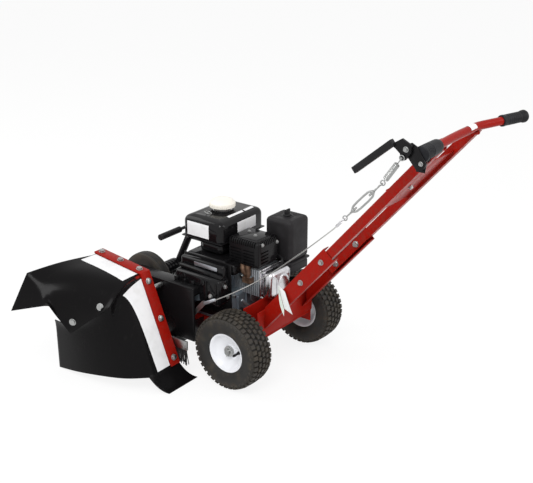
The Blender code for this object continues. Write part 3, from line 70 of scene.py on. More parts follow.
LEFT_TYRE, RIGHT_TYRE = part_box("left_tyre"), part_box("right_tyre")
AXLE_MIDDLE = (LEFT_TYRE[0] + LEFT_TYRE[1] + RIGHT_TYRE[0] + RIGHT_TYRE[1]) / 4
GROUND = Vector((AXLE_MIDDLE.x, AXLE_MIDDLE.y, 0.0))
WHEEL_RADIUS = (LEFT_TYRE[1].z - LEFT_TYRE[0].z) / 2
WHEEL_WIDTH = LEFT_TYRE[1].x - LEFT_TYRE[0].x
HALF_TRACK = (RIGHT_TYRE[0].x + RIGHT_TYRE[1].x) / 2 - GROUND.x
X, Y, Z = Vector((1, 0, 0)), Vector((0, 1, 0)), Vector((0, 0, 1))


def at(x, y, z):
    """A point measured from the ground under the middle of the axle."""
    return GROUND + Vector((x, y, z))


def box_of(node):
    """The node's lowest and highest corners, measured as at() measures."""
    low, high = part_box(node)
    return low - GROUND, high - GROUND


# ---- camera, light and floor ----
CAMERA_PLACE = (-2.116, -1.588, 1.432)


def camera():
    place, target = at(*CAMERA_PLACE), at(0.1081, 0.1, 0.3326)
    bpy.ops.object.camera_add(location=place, rotation=(target - place).to_track_quat("-Z", "Y").to_euler())
    made = bpy.context.object
    made.data.lens = 65.66
    made.data.sensor_width = 36
    bpy.context.scene.camera = made


def lamp(name, place, size, power):
    """A square soft lamp aimed at the machine."""
    aim = (at(0, 0.1, 0.3) - at(*place)).to_track_quat("-Z", "Y").to_euler()
    bpy.ops.object.light_add(type="AREA", location=at(*place), rotation=aim)
    made = bpy.context.object
    made.name = name
    made.data.size = size
    made.data.energy = power


def lights():
    lamp("key_lamp", (-2.4, -1.0, 3.2), 1.6, 78)
    lamp("rear_lamp", (1.2, -3.0, 2.4), 2.0, 34)
    lamp("front_lamp", (-1.0, 3.0, 2.6), 2.2, 40)


# ---- shader maths ----
class Wire:
    """A node's output, used in expressions as if it were a number."""

    def __init__(self, finish, socket):
        self.finish = finish
        self.socket = socket

    def combined(self, operation, first, second):
        return self.finish.node("Math", {0: first, 1: second}, operation=operation)

    def __add__(self, other):
        return self.combined("ADD", self, other)

    def __sub__(self, other):
        return self.combined("SUBTRACT", self, other)

    def __mul__(self, other):
        return self.combined("MULTIPLY", self, other)

    def __pow__(self, other):
        return self.combined("POWER", self, other)

    def __gt__(self, other):
        return self.combined("GREATER_THAN", self, other)

    def __rsub__(self, other):
        return self.combined("SUBTRACT", other, self)

    __radd__ = __add__
    __rmul__ = __mul__


class Finish:
    """A procedural material, with the record's slot that it stands for."""

    made = {}

    def __init__(self, name, slot, **constants):
        self.material = bpy.data.materials.new(name)
        self.material.use_nodes = True
        self.tree = self.material.node_tree
        self.shader = self.tree.nodes["Principled BSDF"]
        self.slot = slot
        for socket, value in constants.items():
            self.shader.inputs[socket.replace("_", " ").title().replace("Ior", "IOR")].default_value = value
        self.coords = self.node("TexCoord", out="Object")
        Finish.made[name] = self

    def node(self, kind, values=None, out=0, stops=None, **settings):
        """Adds a node: its settings first, then its sockets' values or links."""
        made = self.tree.nodes.new("ShaderNode" + kind)
        for key, value in settings.items():
            setattr(made, key, value)
        if stops:
            ramp = made.color_ramp
            while len(ramp.elements) < len(stops):
                ramp.elements.new(0.5)
            for slot, (place, level) in zip(ramp.elements, stops):
                slot.position = place
                slot.color = (level, level, level, 1) if isinstance(level, (int, float)) else (*level, 1)
        for key, value in (values or {}).items():
            if isinstance(value, Wire):
                self.tree.links.new(value.socket, made.inputs[key])
            else:
                made.inputs[key].default_value = value
        return Wire(self, made.outputs[out])

    def noise(self, scale, detail=4.0, stretch=None):
        coords = self.coords
        if stretch:
            coords = self.node("Mapping", {"Vector": coords, "Scale": stretch})
        return self.node("TexNoise", {"Vector": coords, "Scale": scale, "Detail": detail})

    def step(self, value, low, high):
        """From 0 at low to 1 at high, eased."""
        return self.node("MapRange", {0: value, 1: low, 2: high}, interpolation_type="SMOOTHSTEP")

    def blend(self, mask, first, second):
        """The first colour where the mask is 0, and the second where it is 1."""
        colors = {6 + i: c if isinstance(c, Wire) else (*c, 1) for i, c in enumerate((first, second))}
        return self.node("Mix", {0: mask, **colors}, out=2, data_type="RGBA")

    def wire(self, socket, value):
        self.tree.links.new(value.socket, self.shader.inputs[socket])

    def bump(self, height, depth, strength=1.0):
        self.wire("Normal", self.node("Bump", {"Height": height, "Distance": depth, "Strength": strength}))

    def edges(self, low=0.52, high=0.6):
        """Where the surface turns outwards sharply, as at a worn edge."""
        return self.step(self.node("NewGeometry", out="Pointiness"), low, high)


def painted(name, slot, color, deep, rough, wear, coat, shine=0.25, dusting=0.14):
    """Gloss paint with a faint orange peel, dust in places and rubbed edges."""
    paint = Finish(name, slot, coat_weight=coat, coat_roughness=0.06, metallic=0.0, specular_ior_level=shine)
    cloud = paint.noise(7.0, 5.0)
    dust = paint.step(paint.noise(26.0, 6.0), 0.52, 0.78)
    rubbed = paint.edges() * paint.step(paint.noise(90.0, 3.0), 0.45, 0.62)
    body = paint.blend(cloud, deep, color)
    paint.wire("Base Color", paint.blend(rubbed * 0.35, body, wear))
    paint.wire("Roughness", dust * dusting + rough + rubbed * dusting)
    paint.bump(paint.noise(420.0, 2.0), 0.00004)


def moulded(name, slot, color, pale, rough, shine=0.3, grain=900.0, depth=0.00012):
    """Moulded rubber or plastic with a fine grain and a little pale bloom."""
    body = Finish(name, slot, metallic=0.0, specular_ior_level=shine)
    bloom = body.step(body.noise(34.0, 6.0), 0.42, 0.74)
    scuff = body.edges(0.51, 0.58)
    body.wire("Base Color", body.blend(bloom * 0.35 + scuff * 0.2, color, pale))
    body.wire("Roughness", body.noise(60.0, 4.0) * 0.16 + (rough - 0.08))
    body.bump(body.noise(grain, 3.0), depth)


def bare_metal(name, slot, color, dull, rough, stretch=None, scale=60.0, depth=0.00004, metallic=1.0):
    """Bare or plated metal with clouded brightness."""
    metal = Finish(name, slot, metallic=metallic)
    cloud = metal.noise(scale, 6.0, stretch)
    stain = metal.step(metal.noise(18.0, 5.0), 0.5, 0.75)
    metal.wire("Base Color", metal.blend(stain * 0.45, metal.blend(cloud, dull, color), dull))
    metal.wire("Roughness", cloud * 0.22 + (rough - 0.08) + stain * 0.12)
    metal.bump(metal.noise(scale * 7, 3.0, stretch), depth)


def cast(name, slot, color, dull, rough):
    """Sand-cast alloy, evenly pebbled."""
    body = Finish(name, slot, metallic=0.55)
    pebbles = body.node("TexVoronoi", {"Vector": body.coords, "Scale": 520.0})
    grime = body.step(body.noise(16.0, 6.0), 0.48, 0.72)
    body.wire("Base Color", body.blend(grime * 0.6, color, dull))
    body.wire("Roughness", grime * 0.2 + rough)
    body.bump(pebbles + body.noise(300.0, 4.0), 0.00018, 0.6)


def sheet_rubber():
    """Smooth black conveyor rubber with a soft shine and long faint drag marks."""
    body = Finish(
        "sheet_rubber", "sheet_rubber", metallic=0.0, coat_weight=0.025, coat_roughness=0.09,
        specular_ior_level=0.06,
    )
    cloud = body.noise(5.0, 5.0)
    drag = body.noise(16.0, 4.0, (1.0, 1.0, 9.0))
    scratch = body.step(body.noise(70.0, 5.0, (0.3, 2.0, 0.5)), 0.62, 0.72)
    body.wire(
        "Base Color",
        body.blend(scratch * 0.25 + cloud * 0.2, (0.0034, 0.0031, 0.0035), (0.013, 0.012, 0.0115)),
    )
    body.wire("Roughness", cloud * 0.1 + drag * 0.08 + 0.14)
    body.bump(drag + body.noise(700.0, 2.0) * 0.25, 0.00012)


def tyre_rubber():
    """Dull tyre rubber, dusty brown where the tread has touched the ground."""
    body = Finish("tyre_rubber", "tyre_rubber", metallic=0.0, specular_ior_level=0.3)
    dusty = body.step(body.noise(38.0, 7.0), 0.44, 0.7)
    scuff = body.edges(0.5, 0.56)
    body.wire(
        "Base Color", body.blend(dusty * 0.5 + scuff * 0.4, (0.0115, 0.011, 0.0108), (0.052, 0.043, 0.032)),
    )
    body.wire("Roughness", dusty * 0.2 + 0.62)
    body.bump(body.noise(850.0, 4.0), 0.00018)


def exhaust_steel():
    """Pipe steel browned by heat."""
    body = Finish("exhaust_steel", "zinc_steel", metallic=0.7)
    heat = body.step(body.noise(50.0, 6.0), 0.35, 0.7)
    body.wire("Base Color", body.blend(heat, (0.085, 0.045, 0.028), (0.21, 0.13, 0.085)))
    body.wire("Roughness", heat * 0.25 + 0.42)
    body.bump(body.noise(400.0, 4.0), 0.0001)


def wire_rope():
    """Galvanised strands laid in a slow helix along the rope, with painted shade in the dark bands between
    the strands.
    """
    rope = Finish("wire_rope", "zinc_steel", metallic=1.0)
    strand_lay_and_groove_shade = rope.node("TexWave", {"Vector": rope.node("UVMap"), "Scale": 1.0}, bands_direction="DIAGONAL")
    # the darker colour of the bands is painted shade in the grooves between the strands
    rope.wire("Base Color", rope.blend(strand_lay_and_groove_shade, (0.16, 0.16, 0.155), (0.62, 0.62, 0.6)))
    rope.wire("Roughness", strand_lay_and_groove_shade * 0.2 + 0.3)
    rope.bump(strand_lay_and_groove_shade, 0.0002)


def sticker(name, color, shade):
    """Bare printed stock with nothing on it."""
    stock = Finish(name, "white_plastic", metallic=0.0, coat_weight=0.35, coat_roughness=0.15)
    stock.wire("Base Color", stock.blend(stock.step(stock.noise(30.0, 5.0), 0.45, 0.8), color, shade))
    stock.wire("Roughness", stock.noise(60.0, 3.0) * 0.2 + 0.32)
    stock.bump(stock.noise(220.0, 3.0), 0.00004)


def finishes():
    painted(
        "red_paint", "red_paint", (0.285, 0.0075, 0.0036), (0.225, 0.0058, 0.0028), 0.28,
        (0.16, 0.025, 0.016), 0.025, 0.065,
    )
    painted(
        "black_paint", "black_paint", (0.008, 0.0075, 0.0082), (0.0052, 0.005, 0.0055), 0.24,
        (0.009, 0.009, 0.009), 0.04, 0.12, 0.02,
    )
    painted(
        "tank_enamel", "black_paint", (0.0058, 0.0055, 0.0062), (0.0042, 0.004, 0.0045), 0.09,
        (0.007, 0.007, 0.007), 0.12, 0.14, 0.02,
    )
    painted("white_paint", "white_paint", (0.78, 0.79, 0.82), (0.7, 0.71, 0.74), 0.26, (0.5, 0.5, 0.49), 0.2)
    moulded("grip_rubber", "grip_rubber", (0.0075, 0.0078, 0.0092), (0.018, 0.019, 0.023), 0.48, 0.14)
    moulded("black_plastic", "black_plastic", (0.0088, 0.0085, 0.0092), (0.022, 0.0215, 0.023), 0.42, 0.15)
    moulded("matte_plastic", "black_plastic", (0.0125, 0.0115, 0.0125), (0.028, 0.027, 0.029), 0.55, 0.18)
    moulded(
        "white_plastic", "white_plastic", (0.78, 0.75, 0.68), (0.68, 0.65, 0.57), 0.34, 0.4, 500.0, 0.00006,
    )
    moulded("red_plastic", "red_plastic", (0.48, 0.02, 0.016), (0.55, 0.1, 0.08), 0.36)
    moulded("bristle", "bristle", (0.006, 0.006, 0.0065), (0.02, 0.02, 0.02), 0.6)
    bare_metal("bare_alloy", "bare_alloy", (0.56, 0.58, 0.61), (0.3, 0.32, 0.35), 0.36, depth=0.0001)
    bare_metal("zinc_steel", "zinc_steel", (0.5, 0.5, 0.49), (0.27, 0.28, 0.28), 0.28)
    bare_metal("bright_cover", "zinc_steel", (0.78, 0.77, 0.79), (0.5, 0.5, 0.52), 0.2, depth=0.00006)
    bare_metal("chrome_neck", "zinc_steel", (0.8, 0.8, 0.82), (0.6, 0.6, 0.62), 0.12, depth=0.00001)
    cast("fin_casting", "grey_casting", (0.44, 0.47, 0.5), (0.24, 0.26, 0.28), 0.4)
    cast("grey_casting", "grey_casting", (0.22, 0.26, 0.3), (0.085, 0.095, 0.105), 0.42)
    sheet_rubber()
    tyre_rubber()
    exhaust_steel()
    wire_rope()
    sticker("plain_sticker", (0.72, 0.72, 0.73), (0.64, 0.64, 0.64))
    sticker("tan_patch", (0.62, 0.55, 0.4), (0.5, 0.44, 0.32))
    sticker("plain_tag", (0.66, 0.74, 0.67), (0.58, 0.66, 0.6))


def floor():
    """A pale floor that reads as the white around it, and keeps the shadow."""
    bpy.ops.mesh.primitive_plane_add(size=60, location=at(0, 0, -0.0005))
    ground = bpy.context.object
    ground.name = "pale_floor"
    stock = Finish("floor_stock", "white_paint", roughness=0.9, base_color=(0.9, 0.9, 0.9, 1.0))
    seen = stock.node("LightPath", out="Is Camera Ray") + stock.node("LightPath", out="Is Glossy Ray")
    seen = seen + stock.node("LightPath", out="Is Transmission Ray")
    glow = stock.node("Emission", {"Color": (1, 1, 1, 1), "Strength": 1.0})
    mixed = stock.node("MixShader", {0: seen * 0.85, 1: Wire(stock, stock.shader.outputs[0]), 2: glow})
    output = next(n for n in stock.tree.nodes if n.type == "OUTPUT_MATERIAL")
    stock.tree.links.new(mixed.socket, output.inputs["Surface"])
    ground.data.materials.append(stock.material)


def world():
    sky = bpy.data.worlds.new("studio")
    bpy.context.scene.world = sky
    sky.use_nodes = True
    nodes, links = sky.node_tree.nodes, sky.node_tree.links
    background = nodes["Background"]
    path = nodes.new("ShaderNodeLightPath")
    seen = None
    for kind in ("Is Camera Ray", "Is Glossy Ray", "Is Transmission Ray"):
        either = nodes.new("ShaderNodeMath")
        either.operation = "MAXIMUM"
        links.new(path.outputs[kind], either.inputs[0])
        if seen:
            links.new(seen.outputs[0], either.inputs[1])
        seen = either
    level = nodes.new("ShaderNodeMapRange")
    level.inputs["To Min"].default_value = 0.56
    level.inputs["To Max"].default_value = 1.0
    links.new(seen.outputs[0], level.inputs["Value"])
    links.new(level.outputs[0], background.inputs["Strength"])
    background.inputs["Color"].default_value = (1, 1, 1, 1)


# ---- modelling tools ----
# points closer than this are one point
MERGE = 0.00002


def deselect():
    bpy.ops.object.select_all(action="DESELECT")


def settle(name):
    """The object just added, named, with its place taken into its mesh."""
    bpy.ops.object.transform_apply(location=True, rotation=True, scale=True)
    made = bpy.context.object
    made.name = made.data.name = name
    return made


@contextmanager
def editing(piece, kind="VERT"):
    deselect()
    piece.select_set(True)
    bpy.context.view_layer.objects.active = piece
    bpy.ops.object.mode_set(mode="EDIT")
    bpy.ops.mesh.select_mode(type=kind)
    bpy.ops.mesh.select_all(action="SELECT")
    yield
    bpy.ops.object.mode_set(mode="OBJECT")


def apply(piece, kind, **settings):
    """Adds a modifier and applies it."""
    deselect()
    piece.select_set(True)
    bpy.context.view_layer.objects.active = piece
    modifier = piece.modifiers.new(kind.lower(), kind)
    for key, value in settings.items():
        setattr(modifier, key, value)
    bpy.ops.object.modifier_apply(modifier=modifier.name)
    return piece


def select_faces(piece, wanted):
    """Selects, in edit mode, the faces for which wanted(centre, normal) holds."""
    bpy.ops.object.mode_set(mode="OBJECT")
    for face in piece.data.polygons:
        face.select = wanted(face.center, face.normal)
    bpy.ops.object.mode_set(mode="EDIT")
    bpy.ops.mesh.select_mode(type="FACE")


def block(name, low, high, rounding=0.0, segments=2):
    """A block between two corners, its edges rounded."""
    deselect()
    low, high = at(*low), at(*high)
    bpy.ops.mesh.primitive_cube_add(size=1, location=(low + high) / 2, scale=high - low)
    made = settle(name)
    if rounding:
        with editing(made, "EDGE"):
            bpy.ops.mesh.bevel(offset=rounding, segments=segments, affect="EDGES")
    return made


def turned(name, axis, centre, profile, steps=48):
    """A profile of (place along the axis, radius) points, spun about the axis through the centre."""
    centre = at(*centre)
    out = Z if axis.z == 0 else X
    points = [centre + axis * place + out * radius for place, radius in profile]
    deselect()
    bpy.ops.mesh.primitive_plane_add(size=0.001, location=points[0])
    made = settle(name)
    with editing(made):
        bpy.ops.mesh.merge(type="CENTER")
        for a, b in zip(points, points[1:]):
            bpy.ops.mesh.extrude_region_move(TRANSFORM_OT_translate={"value": b - a})
        bpy.ops.mesh.select_all(action="SELECT")
        bpy.ops.mesh.spin(steps=steps, angle=2 * math.pi, center=centre, axis=axis)
        bpy.ops.mesh.select_all(action="SELECT")
        bpy.ops.mesh.remove_doubles(threshold=MERGE)
        bpy.ops.mesh.normals_make_consistent(inside=False)
    return made


def rod(name, start, end, radius, rounding=0.0, steps=24):
    """A round bar between two points, its rims rounded."""
    a, b = at(*start), at(*end)
    deselect()
    turn = (b - a).to_track_quat("Z", "Y").to_euler()
    bpy.ops.mesh.primitive_cylinder_add(
        vertices=steps, radius=radius, depth=(b - a).length, location=(a + b) / 2, rotation=turn
    )
    made = settle(name)
    if rounding:
        way = (b - a).normalized()
        with editing(made, "FACE"):
            select_faces(made, lambda centre, normal: abs(normal.dot(way)) > 0.9)
            bpy.ops.mesh.bevel(offset=rounding, segments=2, affect="EDGES")
    return made


def round_copies(piece, count, axis, centre):
    """Repeats the piece in its own mesh, all the way round the axis."""
    with editing(piece):
        bpy.ops.mesh.spin(
            steps=count - 1, dupli=True, angle=2 * math.pi * (count - 1) / count, center=at(*centre),
            axis=axis,
        )
    return piece


def turn(piece, angle, axis, centre):
    """Turns the piece about an axis through the centre, in its own mesh."""
    place = at(*centre)
    piece.data.transform(
        Matrix.Translation(place) @ Matrix.Rotation(angle, 4, axis) @ Matrix.Translation(-place)
    )
    return piece


def copy_of(piece, name, placing):
    """A copy of the piece with its own mesh, moved by the matrix."""
    made = piece.copy()
    made.data = piece.data.copy()
    made.name = made.data.name = name
    made.data.transform(placing)
    bpy.context.scene.collection.objects.link(made)
    return made


def joined(name, pieces):
    """The pieces as one, in the first one's mesh."""
    deselect()
    for piece in pieces:
        piece.select_set(True)
    bpy.context.view_layer.objects.active = pieces[0]
    if len(pieces) > 1:
        bpy.ops.object.join()
    pieces[0].name = pieces[0].data.name = name
    return pieces[0]


def less(piece, *tools):
    """Cuts the tools out of the piece."""
    for tool in tools:
        apply(piece, "BOOLEAN", object=tool, operation="DIFFERENCE", use_hole_tolerant=True)
        bpy.data.objects.remove(tool)
    return piece


def tube(name, points, radius, steps=12, closed=False, resolution=8):
    """A round bar along a smooth curve through the points."""
    curve = bpy.data.curves.new(name, "CURVE")
    curve.dimensions = "3D"
    curve.bevel_depth = radius
    curve.bevel_resolution = max(1, steps // 4)
    curve.resolution_u = resolution
    curve.use_fill_caps = True
    spline = curve.splines.new("BEZIER")
    spline.bezier_points.add(len(points) - 1)
    for slot, point in zip(spline.bezier_points, points):
        slot.co = at(*point)
        slot.handle_left_type = slot.handle_right_type = "AUTO"
    spline.use_cyclic_u = closed
    made = bpy.data.objects.new(name, curve)
    bpy.context.scene.collection.objects.link(made)
    deselect()
    made.select_set(True)
    bpy.context.view_layer.objects.active = made
    bpy.ops.object.convert(target="MESH")
    return bpy.context.object


def fit(piece, body, finish, *nodes, angle=35):
    """Gives the piece its finish and its body, and lets it stand for the nodes."""
    deselect()
    piece.select_set(True)
    bpy.context.view_layer.objects.active = piece
    bpy.ops.object.shade_smooth_by_angle(angle=math.radians(angle))
    piece.data.materials.clear()
    piece.data.materials.append(Finish.made[finish].material)
    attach(piece, body)
    if nodes:
        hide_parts(*nodes)
    return piece


def softened(node, body, finish, width=0.0012, segments=2, limit=30):
    """The node again with its edges rounded, standing for it."""
    made = copy_of(NODES[node], f"{node}_rounded", Matrix())
    made.parent = None
    del made["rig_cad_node"]
    with editing(made):
        bpy.ops.mesh.remove_doubles(threshold=MERGE)
        bpy.ops.mesh.dissolve_limited(angle_limit=math.radians(2))
    apply(
        made, "BEVEL", width=width, segments=segments, limit_method="ANGLE", angle_limit=math.radians(limit),
        harden_normals=False,
    )
    return fit(made, body, finish, node)


def bolt_head(name, centre, axis, size=0.0075, height=0.005, washer=1.25, domed=False):
    """A hexagon or dome head on its washer, standing on centre along the axis."""
    sides, crown = (32, 0.45) if domed else (6, 0.86)
    a = at(*centre)
    parts = []
    for kind, start, end, radius, count, taper in (
        ("washer", 0.0, 0.0012, size * washer, 28, 0.97),
        ("head", 0.0012, 0.0012 + height, size, sides, crown),
    ):
        deselect()
        turning = axis.to_track_quat("Z", "Y").to_euler()
        middle = a + axis * ((start + end) / 2)
        bpy.ops.mesh.primitive_cylinder_add(
            vertices=count, radius=radius, depth=end - start, location=middle, rotation=turning
        )
        part = settle(kind)
        with editing(part, "FACE"):
            select_faces(part, lambda c, n: n.dot(axis) > 0.9)
            bpy.ops.mesh.inset(thickness=radius * (1 - taper) * 0.6, depth=0.0)
            bpy.ops.transform.translate(value=axis * height * (0.22 if kind == "head" else 0.02))
        parts.append(part)
    return joined(name, parts)


def bolts(name, body, places, axis, finish="zinc_steel", **sizes):
    """One piece of bolt heads at the places."""
    first = bolt_head(name, places[0], axis, **sizes)
    rest = []
    for i, place in enumerate(places[1:]):
        shift = Matrix.Translation(at(*place) - at(*places[0]))
        rest.append(copy_of(first, f"{name}_{i}", shift))
    return fit(joined(name, [first, *rest]), body, finish)


# ---- wheels ----
RIM_SEAT = 0.0535
TREAD_DEPTH = 0.0055
TREAD_PITCHES = 40


def turf_tyre(name, node, body, side):
    """A turf tyre: a smooth carcass with five staggered rows of square lugs."""
    centre = (side * HALF_TRACK, 0, WHEEL_RADIUS)
    half, base = WHEEL_WIDTH / 2, WHEEL_RADIUS - TREAD_DEPTH
    wall = [
        (0.66 * half, RIM_SEAT), (0.72 * half, 0.0575), (0.78 * half, 0.0612), (0.86 * half, 0.0655),
        (0.95 * half, 0.0745), (0.995 * half, 0.085), (0.98 * half, 0.0935), (0.93 * half, 0.1),
        (0.85 * half, base - 0.0042), (0.7 * half, base - 0.0018), (0.4 * half, base - 0.0003),
    ]
    profile = wall + [(0.0, base)] + [(-place, radius) for place, radius in reversed(wall)]
    parts = [turned("carcass", X, centre, profile + [profile[0]], 96)]
    lug, length = 0.0116, 0.0135
    lug_rows = ((-0.0318, -0.26), (-0.016, -0.05), (0, 0), (0.016, 0.05), (0.0318, 0.26))
    for row, (place, tilt) in enumerate(lug_rows):
        x = centre[0] + place
        top = WHEEL_RADIUS + centre[2] - 0.0022 * abs(place / 0.0318) ** 2
        reach = lug * (0.62 if abs(place) > 0.03 else 0.5)
        made = block("lug", (x - reach, -length / 2, top - 0.01), (x + reach, length / 2, top))
        with editing(made, "FACE"):
            select_faces(made, lambda c, n: n.z > 0.9)
            bpy.ops.transform.resize(value=(0.84, 0.84, 1.0))
        turn(made, tilt, Y, (x, 0, top - 0.003))
        turn(made, math.pi / TREAD_PITCHES * (row % 2), X, centre)
        parts.append(round_copies(made, TREAD_PITCHES, X, centre))
    rib = block(
        "rib", (centre[0] - half + 0.0015, -0.0035, 0.2005), (centre[0] - half + 0.009, 0.0035, 0.216),
        0.001, 1,
    )
    other = copy_of(rib, "rib_far", Matrix.Translation((2 * half - 0.0105, 0, 0)))
    for shoulder in (rib, other):
        parts.append(round_copies(shoulder, TREAD_PITCHES, X, centre))
    fit(joined(name, parts), body, "tyre_rubber", node)


def dished_rim(name, node, body, side):
    """A pressed white rim, its centre sunk towards the axle on the outer side."""
    centre = (side * HALF_TRACK, 0, WHEEL_RADIUS)
    edge = 0.33 * WHEEL_WIDTH
    face = [
        (edge, RIM_SEAT), (edge + 0.0004, 0.06), (edge + 0.0022, 0.0612), (edge + 0.0042, 0.0602),
        (edge + 0.004, 0.057), (edge + 0.0018, 0.0535), (edge - 0.003, 0.0505), (edge - 0.008, 0.047),
        (edge - 0.0125, 0.04), (edge - 0.0155, 0.03), (edge - 0.0175, 0.0245), (edge - 0.019, 0.0225),
        (edge - 0.0195, 0.019), (edge - 0.015, 0.0168), (edge - 0.015, 0.0083),
    ]
    back = [
        (-edge - 0.006, 0.0083), (-edge - 0.006, 0.016), (edge - 0.0225, 0.0165), (edge - 0.0225, 0.0245),
        (edge - 0.019, 0.033), (edge - 0.016, 0.042), (-edge + 0.003, 0.049), (-edge - 0.002, 0.0535),
        (-edge - 0.004, 0.058), (-edge - 0.0022, 0.0612), (-edge - 0.0004, 0.06), (-edge, RIM_SEAT),
    ]
    profile = [(side * place, radius) for place, radius in face + back + face[:1]]
    fit(turned(name, X, centre, profile, 72), body, "white_paint", node, angle=50)
    stem_x = centre[0] + side * (edge - 0.013)
    stem = [
        (0.0, 0.0), (0.0, 0.0052), (0.005, 0.0046), (0.01, 0.0034), (0.016, 0.0032), (0.0162, 0.004),
        (0.025, 0.0038), (0.027, 0.0026), (0.027, 0.0),
    ]
    valve = turned(
        f"{body}_valve", X, (stem_x, -0.036, WHEEL_RADIUS + 0.006), [(side * p, r) for p, r in stem], 20,
    )
    fit(valve, body, "black_plastic")
    collar = [
        (0.0, 0.0088), (0.0, 0.0165), (0.0025, 0.0165), (0.0032, 0.015), (0.0075, 0.0145), (0.0082, 0.0132),
        (0.0082, 0.0088), (0.0, 0.0088),
    ]
    hub_x = centre[0] + side * (edge - 0.0145)
    hub = turned(f"{body}_hub_collar", X, (hub_x, 0, WHEEL_RADIUS), [(side * p, r) for p, r in collar], 36)
    fit(hub, body, "zinc_steel")
    pin_x = centre[0] + side * (edge - 0.001)
    pin = rod(
        f"{body}_split_pin", (pin_x, 0.0, WHEEL_RADIUS - 0.013), (pin_x, 0.0, WHEEL_RADIUS + 0.015), 0.0014,
        0.0004, 10,
    )
    fit(pin, "chassis", "zinc_steel")


def wheels():
    for name, side in (("left", -1), ("right", 1)):
        turf_tyre(f"{name}_turf_tyre", f"{name}_tyre", f"{name}_wheel", side)
        dished_rim(f"{name}_dished_rim", f"{name}_rim", f"{name}_wheel", side)


# ---- rubber hood ----
# the clamping strip's outer face, as y, z, and what lies under it
ARCH = ((0.15, 0.05), (0.258, 0.318), (0.45, 0.34), (0.56, 0.05))
STRIP_DEPTH = 0.005
SHEET_DEPTH = 0.003
HEIGHTS = (0.0, 0.22, 0.45, 0.68, 0.86)


def offset_path(points, distance):
    """The open path moved sideways, to the left of its direction, with mitred corners."""
    points = [Vector(point) for point in points]
    moved = []
    for i, point in enumerate(points):
        before = max(0, i - 1)
        spans = zip(points[before : i + 1], points[before + 1 : i + 2])
        ways = [(b - a).normalized() for a, b in spans]
        normals = [Vector((-way.y, way.x)) for way in ways]
        middle = sum(normals, Vector((0, 0))).normalized()
        moved.append(point + middle * (distance / middle.dot(normals[0])))
    return moved


SHEET_LINE = offset_path(ARCH, -(STRIP_DEPTH + 0.0003 + SHEET_DEPTH / 2))[:3]
OUTBOARD = box_of("arch_strip")[0].x
PLATE_SIDE = box_of("arch_strip")[1].x
STRIP_EDGE = OUTBOARD + 0.013


def side_rows():
    """Control points of the side sheet, from its foot upwards, each row from the plate outwards and round."""
    foot, knee = SHEET_LINE[:2]
    x = OUTBOARD
    rows = []
    for h in HEIGHTS:
        y, z = foot.lerp(knee, h)
        lift = z - foot.y
        rows.append([
            (PLATE_SIDE + 0.001, y, z), (x, y, z), (x - 0.048, y, z - 0.02 * h),
            (x - 0.071, y + 0.004, z - 0.03 * h), (x - 0.088, y + 0.03, z - 0.003 - 0.05 * h),
            (x - 0.112, 0.225 + 0.17 * lift, 0.04 + 0.76 * lift),
            (x - 0.133, 0.315 + 0.1 * lift, 0.032 + 0.66 * lift),
            (x - 0.135, 0.4 + 0.04 * lift, 0.016 + 0.62 * lift), (x - 0.125, 0.483, 0.62 * lift),
        ])
    y, z = foot.lerp(knee, 0.975)
    rows.append([
        (PLATE_SIDE + 0.001, y, z), (x, y, z), (x - 0.048, y + 0.004, 0.3), (x - 0.07, y + 0.001, 0.2915),
        (x - 0.09, y, 0.282), (x - 0.122, 0.257, 0.256), (x - 0.145, 0.32, 0.21), (x - 0.148, 0.39, 0.172),
        (x - 0.128, 0.483, 0.16),
    ])
    return rows


def flap_rows():
    """Control points of the flap that trails from the side sheet's foot, downwards."""
    spread = (PLATE_SIDE + 0.001, OUTBOARD, OUTBOARD - 0.048, OUTBOARD - 0.071)
    rows = []
    for shift, y, z in ((0.004, 0.136, 0.024), (0.018, 0.12, 0.006), (0.026, 0.108, 0.0018)):
        rows.append([(place + shift, y, z) for place in spread])
    return rows


def top_rows():
    """Control points of the top sheet, from the rear corner forwards, each row from the plate outwards."""
    knee, brow = SHEET_LINE[1:]
    rows = []
    for t, spread in (
        (0.02, ((-0.048, 0.26, 0.306), (-0.091, 0.252, 0.291), (-0.127, 0.247, 0.266))),
        (0.28, ((-0.078, 0.308, 0.322), (-0.133, 0.3, 0.285), (-0.15, 0.312, 0.212))),
        (0.52, ((-0.103, 0.365, 0.333), (-0.163, 0.362, 0.268), (-0.16, 0.38, 0.157))),
        (0.7, ((-0.118, 0.405, 0.336), (-0.188, 0.418, 0.284), (-0.185, 0.402, 0.212))),
        (0.85, ((-0.128, 0.44, 0.336), (-0.198, 0.452, 0.3), (-0.213, 0.4, 0.262))),
        (1.0, ((-0.103, 0.47, 0.34), (-0.205, 0.494, 0.334), (-0.253, 0.52, 0.225))),
    ):
        y, z = knee.lerp(brow, t)
        fixed = [(PLATE_SIDE + 0.001, y, z), (OUTBOARD, y, z)]
        rows.append(fixed + [(OUTBOARD + out, *place) for out, *place in spread])
    return rows


